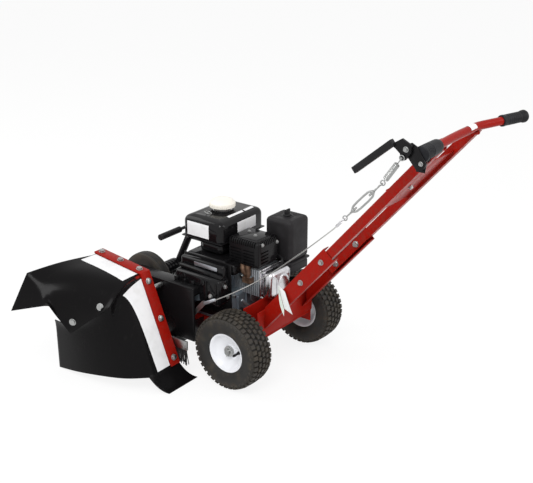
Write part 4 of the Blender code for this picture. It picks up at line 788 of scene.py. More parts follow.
def bent_sheet(name, rows, hung=(), creased=True, corners=(), folded=()):
    """A rubber sheet through a grid of control points, smooth but for its fold over the plate's edge."""
    shape = bmesh.new()
    crease = shape.edges.layers.float.new("crease_edge")
    pinned = shape.verts.layers.float.new("crease_vert")
    grid = [[shape.verts.new(at(*point)) for point in row] for row in rows]
    for row, after in zip(grid, grid[1:]):
        for i in range(len(row) - 1):
            shape.faces.new((row[i], row[i + 1], after[i + 1], after[i]))
    edge = grid[0]
    for row in hung:
        lower = [shape.verts.new(at(*point)) for point in row]
        for i in range(len(lower) - 1):
            shape.faces.new((edge[i + 1], edge[i], lower[i], lower[i + 1]))
        edge = lower
    for row, column in corners:
        grid[row][column][pinned] = 1.0
    for (row, column), (other, place) in zip(folded, folded[1:]):
        shape.edges.get((grid[row][column], grid[other][place]))[crease] = 0.8
    if creased:
        folds = [(row[1], after[1]) for row, after in zip(grid, grid[1:])] + list(zip(grid[0], grid[0][1:]))
        for a, b in folds:
            shape.edges.get((a, b))[crease] = 1.0
    bmesh.ops.recalc_face_normals(shape, faces=shape.faces[:])
    mesh = bpy.data.meshes.new(name)
    shape.to_mesh(mesh)
    shape.free()
    made = bpy.data.objects.new(name, mesh)
    bpy.context.scene.collection.objects.link(made)
    apply(made, "SUBSURF", levels=3, render_levels=3, boundary_smooth="PRESERVE_CORNERS")
    return made


def thickened(piece, depth):
    apply(piece, "SOLIDIFY", thickness=depth, offset=0, use_even_offset=True)
    return apply(
        piece, "BEVEL", width=depth * 0.25, segments=2, limit_method="ANGLE", angle_limit=math.radians(50),
    )


def hood():
    side = bent_sheet("hood_side_rubber", side_rows(), flap_rows())
    fit(thickened(side, SHEET_DEPTH), "chassis", "sheet_rubber", "hood_side_sheet", angle=40)
    top = bent_sheet(
        "hood_top_rubber", top_rows(), corners=((2, 4), (3, 4), (4, 4), (5, 3)), folded=((4, 3), (5, 3)),
    )
    fit(thickened(top, SHEET_DEPTH), "chassis", "sheet_rubber", "hood_top_sheet", angle=40)
    head_labels(side, top)
    # the two bolts stand where lines from this viewpoint meet the top sheet
    eye = at(*CAMERA_PLACE)
    for i, place in enumerate(((-0.42, 0.4106, 0.1713), (-0.42, 0.289, 0.2545))):
        hit, spot, normal, _ = top.ray_cast(eye, (at(*place) - eye).normalized())
        if hit:
            head = spot - at(0, 0, 0)
            bolts(f"hood_bolt_{i}", "chassis", [tuple(head)], normal, size=0.0085, height=0.004, domed=True)


def strip_bolts():
    """Six bolts through the clamping strip, three on its top and three down its rear leg."""
    rear, knee, brow = (Vector(point) for point in ARCH[:3])
    x = (STRIP_EDGE + PLATE_SIDE) / 2
    outline = list(ARCH[:3]) + [tuple(p) for p in reversed(offset_path(ARCH, -STRIP_DEPTH)[:3])]
    strip = slab("clamping_strip", "X", outline, STRIP_EDGE, PLATE_SIDE, 0.001)
    fit(strip, "chassis", "red_paint", "arch_strip")
    for name, a, b, places in (
        ("top", knee, brow, (0.12, 0.52, 0.92)),
        ("leg", knee, rear, (0.1, 0.5, 0.92)),
    ):
        way = (b - a).normalized()
        normal = Vector((0, way.y, -way.x)) if name == "leg" else Vector((0, -way.y, way.x))
        if name == "leg":
            normal = -normal if normal.y > 0 else normal
        spots = [(x, *a.lerp(b, t)) for t in places]
        bolts(
            f"strip_bolts_{name}", "chassis", spots, normal.normalized(), size=0.0078, height=0.0045,
            domed=True,
        )


def head_labels(side, top):
    """The bare labels: one long strip beside the rear leg, and one block along the top sheet."""
    foot, knee, brow = SHEET_LINE
    way = (knee - foot).normalized()
    out = Vector((-way.y, way.x)) * 0.006
    rows = []
    for h, wide in ((0.02, 0.052), (0.25, 0.052), (0.5, 0.052), (0.75, 0.056), (0.9, 0.066), (0.965, 0.078)):
        y, z = foot.lerp(knee, h) + out
        drop = 0.018 * h * wide / 0.052
        rows.append([
            (STRIP_EDGE - 0.001, y, z), (STRIP_EDGE - wide / 2, y, z - drop / 3),
            (STRIP_EDGE - wide, y, z - drop),
        ])
    wrapped_label("leg_label", rows, side, "plain_sticker")
    rows = []
    for t in (0.04, 0.28, 0.52, 0.75, 0.97):
        y, z = knee.lerp(brow, t)
        rows.append([
            (STRIP_EDGE - 0.001, y, z + 0.01), (STRIP_EDGE - 0.03, y, z + 0.012),
            (STRIP_EDGE - 0.06, y, z + 0.012),
        ])
    wrapped_label("top_label", rows, top, "plain_sticker")


# ---- chassis ----
def chassis():
    for node, width in (
        ("deck_plate", 0.0012), ("rear_channel", 0.0016), ("head_plate", 0.001),
        ("left_handle_bracket", 0.0014), ("right_handle_bracket", 0.0014), ("cross_brace", 0.0008),
    ):
        softened(node, "chassis", "red_paint", width)
    for node in ("guard_back_plate", "head_beam"):
        softened(node, "chassis", "black_paint", 0.0006)
    for node, finish in (
        ("left_arm_tube", "red_paint"), ("right_arm_tube", "red_paint"), ("lever_bracket", "black_paint"),
        ("axle", "zinc_steel"),
    ):
        fit(NODES[node], "chassis", finish)


# ---- small shapes that recur ----
def ring(name, centre, axis, radius, wire):
    """A closed eye of round wire."""
    deselect()
    bpy.ops.mesh.primitive_torus_add(
        location=at(*centre), rotation=Vector(axis).to_track_quat("Z", "Y").to_euler(), major_segments=28,
        minor_segments=10, major_radius=radius, minor_radius=wire,
    )
    return settle(name)


def coil(name, start, end, radius, wire, turns):
    """A helix of round wire from start to end."""
    a, b = Vector(start), Vector(end)
    way = (b - a).normalized()
    side = way.orthogonal().normalized()
    other = way.cross(side)
    steps = turns * 12
    points = []
    for i in range(steps + 1):
        angle = 2 * math.pi * i / 12
        points.append(a.lerp(b, i / steps) + (side * math.cos(angle) + other * math.sin(angle)) * radius)
    return tube(name, points, wire, 8, resolution=1)


def slab(name, axis, outline, start, end, rounding=0.0, segments=2):
    """A flat plate: an outline in the plane across the axis, pulled from start to end along it."""
    spots = {
        "X": lambda a, b: (start, a, b),
        "Y": lambda a, b: (a, start, b),
        "Z": lambda a, b: (a, b, start),
    }[axis]
    way = {"X": X, "Y": Y, "Z": Z}[axis]
    shape = bmesh.new()
    shape.faces.new([shape.verts.new(at(*spots(*point))) for point in outline])
    mesh = bpy.data.meshes.new(name)
    shape.to_mesh(mesh)
    shape.free()
    made = bpy.data.objects.new(name, mesh)
    bpy.context.scene.collection.objects.link(made)
    with editing(made, "FACE"):
        bpy.ops.mesh.extrude_region_move(TRANSFORM_OT_translate={"value": way * (end - start)})
        bpy.ops.mesh.select_all(action="SELECT")
        bpy.ops.mesh.normals_make_consistent(inside=False)
    if rounding:
        apply(
            made, "BEVEL", width=rounding, segments=segments, limit_method="ANGLE",
            angle_limit=math.radians(40),
        )
    return made


def wrapped_label(name, rows, onto, finish, body="chassis", lift=0.0007):
    """A thin bare label, laid on a surface."""
    made = bent_sheet(name, rows, creased=False)
    apply(
        made, "SHRINKWRAP", target=onto, wrap_method="NEAREST_SURFACEPOINT", wrap_mode="ABOVE_SURFACE",
        offset=lift,
    )
    apply(made, "SOLIDIFY", thickness=0.0004, offset=0)
    return fit(made, body, finish)


# ---- handle ----
ARM_WAY = Vector((0, -0.6494, 0.7604))
ARM_OUT = Vector((0, 0.7604, 0.6494))
ARM_START = Vector((0, -0.173, 0.3356))
# the handlebar's straight middle, as y, z
BAR = (-0.574, 0.808)


def on_arm(x, distance, off=0.0):
    """A point at a distance along the arms from their lower bracket bolt, and off their centre line."""
    point = ARM_START + ARM_WAY * distance + ARM_OUT * off
    return (x, point.y, point.z)


def bar_point(x):
    """The handlebar's centre line, at a place across the machine."""
    back = 0.055 * max(0.0, -x - 0.02) if x < 0 else 0.3 * max(0.0, x - 0.095)
    return (x, BAR[0] - back, BAR[1])


def grip(name, node, start, end, profile):
    """A rubber sleeve turned about the handlebar."""
    a, b = Vector(bar_point(start)), Vector(bar_point(end))
    fit(turned(name, (b - a).normalized(), a, profile, 40), "chassis", "grip_rubber", node, angle=40)


def handle():
    places = (-0.213, -0.165, -0.11, -0.05, 0.0, 0.05, 0.086, 0.106, 0.15, 0.2, 0.262)
    bar = tube("bent_handlebar", [bar_point(x) for x in places], 0.0111, 24, resolution=6)
    fit(bar, "chassis", "red_paint", "handlebar_tube", angle=50)
    rows = []
    for degrees in (-80, -55, -30, -5, 20):
        s, c = math.sin(math.radians(degrees)), math.cos(math.radians(degrees))
        rows.append([(x, BAR[0] + 0.0118 * s, BAR[1] + 0.0118 * c) for x in (0.04, 0.051, 0.062, 0.073)])
    wrapped_label("handlebar_sticker", rows, bar, "plain_sticker")
    left = [(0.0, 0.0), (0.0, 0.0165), (0.0018, 0.0192), (0.005, 0.0197)]
    for i in range(5):
        p, r = 0.0085 + 0.0065 * i, 0.0195 - 0.00013 * i
        left += [(p, r), (p + 0.0009, r - 0.0011), (p + 0.0024, r - 0.0011), (p + 0.0033, r)]
    left += [
        (0.045, 0.0188), (0.072, 0.0181), (0.083, 0.0177), (0.088, 0.0164), (0.0915, 0.0135), (0.092, 0.0),
    ]
    grip("left_grip_sleeve", "left_grip", -0.215, -0.105, left)
    right = [(0.0, 0.0), (0.0, 0.0136), (0.0015, 0.015), (0.0075, 0.0153), (0.009, 0.0144)]
    for i in range(7):
        p = 0.018 + 0.008 * i
        right += [(p, 0.0147), (p + 0.0008, 0.014), (p + 0.002, 0.014), (p + 0.0028, 0.0147)]
    right += [(0.078, 0.015), (0.081, 0.0166), (0.087, 0.0168), (0.09, 0.0155), (0.091, 0.0)]
    grip("right_grip_sleeve", "right_grip", 0.179, 0.2885, right)
    for side, name in ((-1, "left"), (1, "right")):
        spots = [on_arm(side * 0.106, place) for place in (0.011, 0.113)]
        bolts(f"{name}_arm_bolts_outer", "chassis", spots, X * side, size=0.0066, height=0.0045)
        spots = [on_arm(side * 0.0773, place) for place in (0.004, 0.105)]
        bolts(f"{name}_arm_bolts_inner", "chassis", spots, X * -side, size=0.0074, height=0.006)
    bolts("brace_nut", "chassis", [on_arm(-0.004, 0.4175, -0.0048)], -ARM_OUT, size=0.0062, height=0.005)
    corners = ((0.335, -0.0048), (0.535, -0.0048), (0.535, -0.0018), (0.335, -0.0018))
    web = [on_arm(0, place, off)[1:] for place, off in corners]
    fit(slab("arm_web", "X", web, -0.0772, 0.0772, 0.0008), "chassis", "red_paint")
    for side, name in ((-1, "left"), (1, "right")):
        seam = ring(f"{name}_arm_weld", (side * 0.09, -0.5715, 0.799), ARM_WAY, 0.0128, 0.0022)
        fit(seam, "chassis", "red_paint", angle=60)


# ---- clutch lever, spring, turnbuckle and wire rope ----
LEVER_PIVOT = (-0.553, 0.818)
LINK_PIN = (-0.545, 0.797)
SPRING_JOINT = Vector((-0.2315, -0.4985, 0.7285))
ROPE_JOINT = Vector((-0.2265, -0.3945, 0.6165))
ROPE_ROUTE = (
    (-0.2245, -0.382, 0.603), (-0.2205, -0.362, 0.582), (-0.211, -0.32, 0.544), (-0.201, -0.27, 0.5),
    (-0.193, -0.215, 0.453), (-0.187, -0.15, 0.3985), (-0.183, -0.075, 0.341), (-0.1795, 0.0, 0.2905),
    (-0.177, 0.06, 0.253), (-0.1755, 0.095, 0.234), (-0.1755, 0.113, 0.225),
)
ROPE_RADIUS = 0.0016
EYE, EYE_WIRE = 0.006, 0.0015


def lever():
    outer, inner = -0.235, -0.2202
    tip, top = Vector((-0.4167, 0.7434)), Vector((-0.5188, 0.8295))
    way = (tip - top).normalized()
    side = Vector((-way.y, way.x)) * 0.0086
    paddle = slab(
        "lever_paddle", "X", [top + side, tip + side, tip - side, top - side], outer, inner, 0.0016, 3,
    )
    fit(paddle, "lever", "black_plastic")
    cheek = [
        (-0.514, 0.82), (-0.5215, 0.829), (-0.54, 0.841), (-0.5665, 0.8285), (-0.5655, 0.81),
        (-0.551, 0.791), (-0.54, 0.791), (-0.537, 0.805), (-0.524, 0.8155),
    ]
    fit(slab("lever_cheek", "X", cheek, -0.2282, -0.2196, 0.0012), "lever", "black_paint", "clutch_lever")
    pin = rod("lever_link_pin", (-0.236, *LINK_PIN), (-0.2275, *LINK_PIN), 0.003, 0.0005, 20)
    fit(pin, "lever", "zinc_steel")
    bolts("lever_pivot_bolt", "chassis", [(-0.2284, *LEVER_PIVOT)], -X, size=0.0056, height=0.004)
    ear = [
        (-0.544, 0.806), (-0.547, 0.827), (-0.562, 0.833), (-0.576, 0.826), (-0.601, 0.79),
        (-0.592, 0.769), (-0.577, 0.769),
    ]
    strap = [(-0.2188, -0.6), (-0.2188, -0.576), (-0.1072, -0.521), (-0.1072, -0.548)]
    corners = ((0.533, -0.0112), (0.572, -0.0112), (0.572, 0.0112), (0.533, 0.0112))
    foot = [on_arm(0, place, off)[1:] for place, off in corners]
    parts = [
        slab("lever_ear", "X", ear, -0.219, -0.2158, 0.001),
        slab("lever_strap", "Z", strap, 0.7672, 0.7716, 0.001),
        slab("lever_foot", "X", foot, -0.1072, -0.1032, 0.0008),
        rod("lever_pin", (-0.228, *LEVER_PIVOT), (-0.216, *LEVER_PIVOT), 0.005, 0.0005, 24),
    ]
    fit(joined("lever_mounting", parts), "chassis", "black_paint", "lever_bracket")
    bolts("lever_ear_bolt", "chassis", [(-0.2191, -0.588, 0.7877)], -X, size=0.0046, height=0.0036)
    bolts("lever_foot_bolt", "chassis", [on_arm(-0.1073, 0.552)], -X, size=0.0068, height=0.005)


def eye_link(name, centre, axis):
    return ring(name, centre, axis, EYE, EYE_WIRE)


def linkage():
    """The tension spring, the turnbuckle with its eye bolts, and the wire rope down to the idler's arm."""
    start = Vector((-0.2309, *LINK_PIN))
    way = (SPRING_JOINT - start).normalized()
    top, low = start + way * 0.021, SPRING_JOINT - way * 0.013
    parts = [
        coil("spring_coil", top, low, 0.0062, 0.00145, 22),
        eye_link("spring_eye", start, X),
        eye_link("spring_end_eye", SPRING_JOINT, X),
        rod("spring_hook", start + way * EYE, top + way * 0.002, 0.0014),
        rod("spring_tail", low - way * 0.003, SPRING_JOINT - way * EYE, 0.0014),
        rod("spring_drawbar", start + way * 0.012, SPRING_JOINT - way * 0.01, 0.0013),
        rod("spring_core", top, low, 0.0046, 0.001, 20),
    ]
    fit(joined("tension_spring", parts), "linkage", "zinc_steel", "clutch_spring", angle=60)
    way = (ROPE_JOINT - SPRING_JOINT).normalized()
    side = way.cross(X).normalized()
    first = SPRING_JOINT + way * 0.0085
    high, bottom = first + way * 0.03, ROPE_JOINT - way * 0.032
    half = (bottom - high).length / 2
    centre = (high + bottom) / 2
    bow = ((-1, 0), (-0.86, 0.72), (-0.5, 1), (0, 1.05), (0.5, 1), (0.86, 0.72), (1, 0))
    loop = [centre + way * (half * along) + side * (0.0082 * out) for along, out in bow]
    loop += [centre + way * (half * along) - side * (0.0082 * out) for along, out in bow[-2:0:-1]]
    parts = [tube("turnbuckle_body", loop, 0.0027, 12, closed=True, resolution=6)]
    for name, place, eye_at, axis in (("upper", high, first, side), ("lower", bottom, ROPE_JOINT, X)):
        away = (eye_at - place).normalized()
        parts.append(rod(f"{name}_boss", place + away * 0.0035, place - away * 0.006, 0.0043, 0.001, 20))
        parts.append(rod(f"{name}_screw", eye_at - away * EYE, place - away * 0.015, 0.0021, 0.0004, 14))
        parts.append(coil(f"{name}_thread", place + away * 0.012, place - away * 0.015, 0.0021, 0.00045, 20))
        parts.append(eye_link(f"{name}_eye", eye_at, axis))
    fit(joined("oval_turnbuckle", parts), "linkage", "zinc_steel", "turnbuckle", angle=60)
    rope_points = [Vector(point) for point in ROPE_ROUTE]
    drop = (rope_points[0] - ROPE_JOINT).normalized()
    hung = ROPE_JOINT + drop * 0.0085
    rope = tube("wire_rope", rope_points, ROPE_RADIUS, 12, resolution=10)
    curve_length = sum((b - a).length for a, b in zip(rope_points, rope_points[1:]))
    crimp_end = rope_points[0] + (rope_points[1] - rope_points[0]) * 0.75
    thimble = [
        eye_link("rope_eye", hung, drop.cross(X)),
        rod("rope_crimp", rope_points[0] - drop * 0.001, crimp_end, 0.0036, 0.001, 16),
    ]
    fit(joined("rope_thimble", thimble), "linkage", "bright_cover", angle=60)
    a, b = rope_points[-3].lerp(rope_points[-2], 0.3), rope_points[-1]
    sleeve = rod("rope_end_sleeve", a, b, 0.0052, 0.0016, 20)
    fit(sleeve, "linkage", "bare_alloy")
    return rope, rope_points, curve_length


def declare_rope(rope, points, length):
    fit(rope, "linkage", "wire_rope", "clutch_cable")


def hang_tag():
    """A folded paper tag, bare on both sides, hung on the left arm's foot."""
    fold = [(-0.1085, -0.108, 0.317), (-0.111, -0.119, 0.283), (-0.11, -0.129, 0.252)]
    outer = [(-0.112, -0.132, 0.305), (-0.1175, -0.147, 0.279), (-0.114, -0.16, 0.244)]
    front = bent_sheet("tag_leaf", [fold, outer], creased=False)
    back = bent_sheet("tag_leaf_back", [
        [(x - 0.0008, y + 0.001, z) for x, y, z in fold],
        [(-0.119, -0.115, 0.296), (-0.126, -0.124, 0.266), (-0.123, -0.137, 0.236)],
    ], creased=False)
    for leaf, name, finish in (
        (front, "hang_tag_front", "plain_sticker"),
        (back, "hang_tag_back", "plain_tag"),
    ):
        apply(leaf, "SOLIDIFY", thickness=0.0005, offset=0)
        leaf.name = leaf.data.name = name
        fit(leaf, "chassis", finish)
    hook = [(-0.1085, -0.109, 0.316), (-0.1082, -0.111, 0.326), (-0.1065, -0.118, 0.33)]
    fit(tube("tag_wire", hook, 0.0005, 8), "chassis", "zinc_steel")


# ---- engine ----
# the crankshaft's line as y, z, and the tank's neck as x, y
CRANK_AXIS = (0.17, 0.2433)
TANK_NECK = (0.0185, 0.1995)


def slots(piece, boxes):
    """Cuts a row of slots out of the piece."""
    cutters = [block(f"slot_{i}", low, high) for i, (low, high) in enumerate(boxes)]
    return less(piece, joined("slots", cutters))


def fuel_tank():
    low, high = Vector((-0.0835, 0.1205, 0.3596)), Vector((0.1235, 0.2745, 0.4396))
    body = block("tank_shell", low, high, 0.021, 5)
    with editing(body, "FACE"):
        select_faces(body, lambda c, n: n.z > 0.98)
        bpy.ops.mesh.inset(thickness=0.01, depth=0.0)
        bpy.ops.transform.translate(value=(0, 0, 0.002))
        bpy.ops.mesh.inset(thickness=0.013, depth=0.0)
        bpy.ops.transform.translate(value=(0, 0, 0.0012))
    apply(body, "BEVEL", width=0.004, segments=3, limit_method="ANGLE", angle_limit=math.radians(18))
    seam = block(
        "tank_seam", (low.x - 0.0012, low.y - 0.0012, 0.3725), (high.x + 0.0012, high.y + 0.0012, 0.3765),
        0.0016, 2,
    )
    crown = turned("tank_crown", Z, (*TANK_NECK, 0.4405), [
        (-0.004, 0.0), (-0.004, 0.044), (0.0015, 0.043), (0.003, 0.04), (0.0034, 0.03), (0.0034, 0.0),
    ], 56)
    belly = block("tank_belly", (low.x + 0.01, low.y + 0.01, 0.3331), (high.x - 0.01, 0.212, 0.37), 0.014, 4)
    feet = [belly] + [
        block("tank_foot", (x, 0.155, 0.333), (x + 0.012, 0.235, 0.364), 0.001) for x in (-0.045, 0.067)
    ]
    fit(joined("tank_body", [body, seam, crown, *feet]), "chassis", "tank_enamel", "fuel_tank", angle=40)
    neck = turned("tank_neck", Z, (*TANK_NECK, 0.442), [
        (0.0, 0.029), (0.003, 0.03), (0.0045, 0.0285), (0.006, 0.0262), (0.02, 0.026), (0.02, 0.024),
        (0.0, 0.024), (0.0, 0.029),
    ], 48)
    fit(neck, "chassis", "chrome_neck")
    rows = [[(-0.086, y, z) for y in (0.252, 0.211, 0.169)] for z in (0.4255, 0.404, 0.3825)]
    wrapped_label("tank_side_label", rows, body, "plain_sticker")
    rows = [[(x, 0.118, z) for x in (-0.008, 0.036, 0.08)] for z in (0.425, 0.408, 0.39)]
    wrapped_label("tank_rear_label", rows, body, "plain_sticker")
    rows = [[(x, y, 0.445) for x in (-0.025, 0.01, 0.045)] for y in (0.1475, 0.142, 0.137)]
    wrapped_label("tank_top_label", rows, body, "plain_sticker")
    rows = [[(x, y, 0.445) for x in (0.052, 0.075, 0.095)] for y in (0.1475, 0.142, 0.137)]
    wrapped_label("tank_top_label_right", rows, body, "plain_sticker")
    loop = ring("tank_wire_ring", (-0.04, 0.206, 0.447), (0.25, -0.2, 0.95), 0.0115, 0.0009)
    fit(loop, "chassis", "zinc_steel", angle=60)


def fuel_cap():
    """A pale ribbed filler cap with a low dome."""
    centre = (*TANK_NECK, 0.4533)
    cap = turned("cap_body", Z, centre, [
        (0.0, 0.0262), (0.0, 0.0385), (0.001, 0.0396), (0.0125, 0.0392), (0.015, 0.0378), (0.0165, 0.0345),
        (0.02, 0.032), (0.0235, 0.024), (0.0255, 0.012), (0.0258, 0.0), (0.0115, 0.0), (0.0115, 0.0262),
        (0.0, 0.0262),
    ], 72)
    x, y = TANK_NECK
    rib = block("cap_rib", (x + 0.0382, y - 0.001, 0.4543), (x + 0.04, y + 0.001, 0.4655), 0.0005, 1)
    ribs = round_copies(rib, 36, Z, centre)
    fit(joined("filler_cap", [cap, ribs]), "filler_cap", "white_plastic", "fuel_cap", angle=40)


def muffler_guard():
    """A pressed black guard with louvres on its left and rear and slots round its top edge."""
    low, high = Vector((-0.06, 0.003, 0.3167)), Vector((0.045, 0.118, 0.3993))
    guard = block("guard_shell", low, high, 0.012, 4)
    cuts = []
    for side in range(2):
        for row in range(5):
            y, z = low.y + 0.014 + 0.048 * side, low.z + 0.012 + row * 0.0095
            cuts.append(((low.x - 0.01, y, z), (low.x + 0.004, y + 0.04, z + 0.0038)))
    for row in range(4):
        z = low.z + 0.014 + row * 0.0105
        cuts.append(((low.x + 0.014, low.y - 0.01, z), (low.x + 0.05, low.y + 0.004, z + 0.004)))
    for i in range(12):
        y = low.y + 0.012 + 0.0078 * i
        cuts.append(((low.x - 0.01, y, high.z - 0.0165), (low.x + 0.01, y + 0.0042, high.z + 0.01)))
    for i in range(10):
        x = low.x + 0.016 + 0.008 * i
        cuts.append(((x, low.y - 0.01, high.z - 0.0165), (x + 0.0042, low.y + 0.01, high.z + 0.01)))
    slots(guard, cuts)
    fit(guard, "chassis", "black_paint", "muffler_guard", angle=32)
    panel = block(
        "guard_top_panel", (low.x + 0.016, low.y + 0.018, high.z - 0.002),
        (high.x - 0.012, high.y - 0.012, high.z + 0.0016), 0.0015, 3,
    )
    fit(panel, "chassis", "tank_enamel")
    bolts(
        "guard_top_screws", "chassis", [(0.004, 0.085, 0.4007), (-0.015, 0.048, 0.4007)], Z, size=0.0045,
        height=0.0028, domed=True,
    )
    roll = rod(
        "guard_top_roll", (low.x + 0.012, low.y + 0.01, high.z - 0.001),
        (high.x - 0.012, low.y + 0.01, high.z - 0.001), 0.0032, 0.002,
    )
    fit(roll, "chassis", "tank_enamel")
    bolts(
        "guard_rear_screws", "chassis", [(-0.04, 0.0028, 0.39), (0.03, 0.0028, 0.38)], -Y, size=0.0045,
        height=0.0028,
    )
    inner = NODES["muffler"]
    fit(inner, "chassis", "exhaust_steel")
    port = tube("exhaust_pipe", [
        (-0.048, 0.067, 0.33), (-0.05, 0.067, 0.316), (-0.053, 0.063, 0.3), (-0.046, 0.056, 0.286),
    ], 0.0085, 16)
    fit(port, "chassis", "exhaust_steel", angle=60)
    flange = block("exhaust_flange", (-0.05, 0.036, 0.27), (-0.0395, 0.076, 0.286), 0.002)
    fit(flange, "chassis", "grey_casting")
    bolts(
        "exhaust_studs", "chassis", [(-0.0502, 0.04, 0.278), (-0.0502, 0.072, 0.278)], -X, size=0.0046,
        height=0.004,
    )


def cylinder():
    """Cooling fins round the barrel, and the bright rounded cover on the head."""
    parts = [block("barrel_core", (-0.029, 0.0006, 0.2363), (0.044, 0.115, 0.2943), 0.004)]
    for i in range(13):
        y = 0.014 + 0.0074 * i
        parts.append(block(f"fin_{i}", (-0.043, y, 0.2228), (0.0565, y + 0.003, 0.3078), 0.003, 2))
    fit(joined("finned_barrel", parts), "chassis", "fin_casting", "cylinder")
    cover = block("rocker_shell", (-0.044, -0.036, 0.2203), (0.057, 0.008, 0.3083), 0.018, 6)
    with editing(cover, "FACE"):
        select_faces(cover, lambda c, n: n.y < -0.98)
        bpy.ops.mesh.inset(thickness=0.01, depth=0.0)
        bpy.ops.transform.translate(value=(0, -0.003, 0))
    apply(cover, "BEVEL", width=0.004, segments=3, limit_method="ANGLE", angle_limit=math.radians(12))
    lip = block("rocker_lip", (-0.047, 0.005, 0.2183), (0.06, 0.011, 0.3113), 0.0028, 3)
    boss = turned("rocker_boss", -Y, (0.0075, -0.037, 0.2653), [
        (0.0, 0.0), (0.0, 0.03), (0.003, 0.0285), (0.0055, 0.022), (0.0065, 0.012), (0.007, 0.0),
    ], 48)
    bright = joined("bright_rocker_cover", [cover, lip, boss])
    fit(bright, "chassis", "bright_cover", "rocker_cover", angle=60)
    corners = [(x, 0.0048, z) for x in (-0.042, 0.055) for z in (0.223, 0.3065)]
    bolts("rocker_bolts", "chassis", corners, -Y, size=0.0042, height=0.005)
    bolts(
        "head_bolts", "chassis", [(-0.0432, 0.094, 0.2895), (-0.0432, 0.0485, 0.2885)], -X, size=0.006,
        height=0.005,
    )
    lead = [
        (0.03, -0.01, 0.308), (0.033, -0.015, 0.322), (0.044, 0.0, 0.328), (0.052, 0.04, 0.326),
        (0.054, 0.069, 0.32),
    ]
    fit(tube("spark_lead", lead, 0.0034, 12), "chassis", "black_plastic")
    boot = rod("spark_boot", (0.03, -0.01, 0.301), (0.0306, -0.0112, 0.316), 0.007, 0.002)
    fit(boot, "chassis", "black_plastic")


def crankcase():
    """The cast crankcase: ribbed sides, a sump rim with bolts, and a machined side cover."""
    body = block("crankcase_body", (-0.096, 0.074, 0.14), (0.064, 0.246, 0.232), 0.012, 4)
    sump = block("sump_rim", (-0.1, 0.07, 0.1378), (0.065, 0.25, 0.15), 0.003)
    upper = block("crankcase_upper", (-0.094, 0.112, 0.21), (0.064, 0.246, 0.308), 0.01, 4)
    parts = [body, sump, upper]
    for x in (-0.07, -0.03, 0.01, 0.045):
        parts.append(block("rear_rib", (x, 0.0705, 0.148), (x + 0.005, 0.078, 0.218), 0.0012, 1))
    for y in (0.095, 0.13, 0.21, 0.235):
        parts.append(block("side_rib", (-0.0998, y, 0.148), (-0.093, y + 0.005, 0.296), 0.0012, 1))
    parts.append(turned("crank_boss", X, (-0.0985, *CRANK_AXIS), [
        (0.0, 0.0135), (0.0, 0.027), (0.003, 0.03), (0.012, 0.034), (0.012, 0.0135), (0.0, 0.0135)
    ], 40))
    parts.append(block("barrel_joint", (-0.044, 0.108, 0.218), (0.06, 0.118, 0.3095), 0.004, 3))
    fit(joined("cast_crankcase", parts), "chassis", "grey_casting", "engine_block")
    spots = [(-0.092, 0.0698, 0.144), (0.056, 0.0698, 0.144), (-0.092, 0.0698, 0.229)]
    bolts("sump_bolts", "chassis", spots, -Y, size=0.005, height=0.004)
    softened("crankcase_cover", "chassis", "bare_alloy", 0.003, 3)
    corners = ((0.0765, 0.145), (0.0765, 0.235), (0.0765, 0.326), (0.2435, 0.145), (0.2435, 0.326))
    spots = [(0.0852, y, z) for y, z in corners]
    bolts("cover_bolts", "chassis", spots, X, size=0.0048, height=0.004)
    plug = turned(
        "oil_plug", Y, (0.04, 0.07, 0.158),
        [(0.0, 0.0), (0.0, 0.011), (-0.002, 0.0112), (-0.0025, 0.008), (-0.0075, 0.0076), (-0.008, 0.0)], 6,
    )
    fit(plug, "chassis", "zinc_steel", angle=20)
    shroud = [
        block("shroud_top", (-0.099, 0.1, 0.296), (0.064, 0.248, 0.3329), 0.01, 4),
        block("shroud_side", (-0.099, 0.113, 0.248), (-0.064, 0.24, 0.312), 0.009, 4),
        block("shroud_rear", (-0.09, 0.07, 0.29), (0.056, 0.11, 0.324), 0.009, 4),
        rod("shroud_boss", (-0.09, 0.1, 0.315), (-0.102, 0.1, 0.315), 0.012, 0.003),
        rod("shroud_tube", (-0.092, 0.086, 0.266), (-0.092, 0.19, 0.286), 0.008, 0.003),
    ]
    fit(joined("engine_shroud", shroud), "chassis", "tank_enamel", angle=40)
    strip = block("bright_strip", (-0.13, 0.101, 0.311), (-0.1275, 0.189, 0.323), 0.0008)
    fit(strip, "chassis", "bare_alloy")
    sump_side = [
        block("sump_side_pad", (-0.1015, 0.08, 0.156), (-0.094, 0.108, 0.22), 0.003, 3),
        turned("sump_boss", -Y, (0.015, 0.0745, 0.195), [
            (0.0, 0.0), (0.0, 0.024), (0.0045, 0.0225), (0.006, 0.015), (0.0065, 0.0),
        ], 36),
        rod("breather_pipe", (-0.05, 0.076, 0.2), (-0.02, 0.073, 0.17), 0.0055, 0.0015),
    ]
    fit(joined("crankcase_fittings", sump_side), "chassis", "fin_casting")


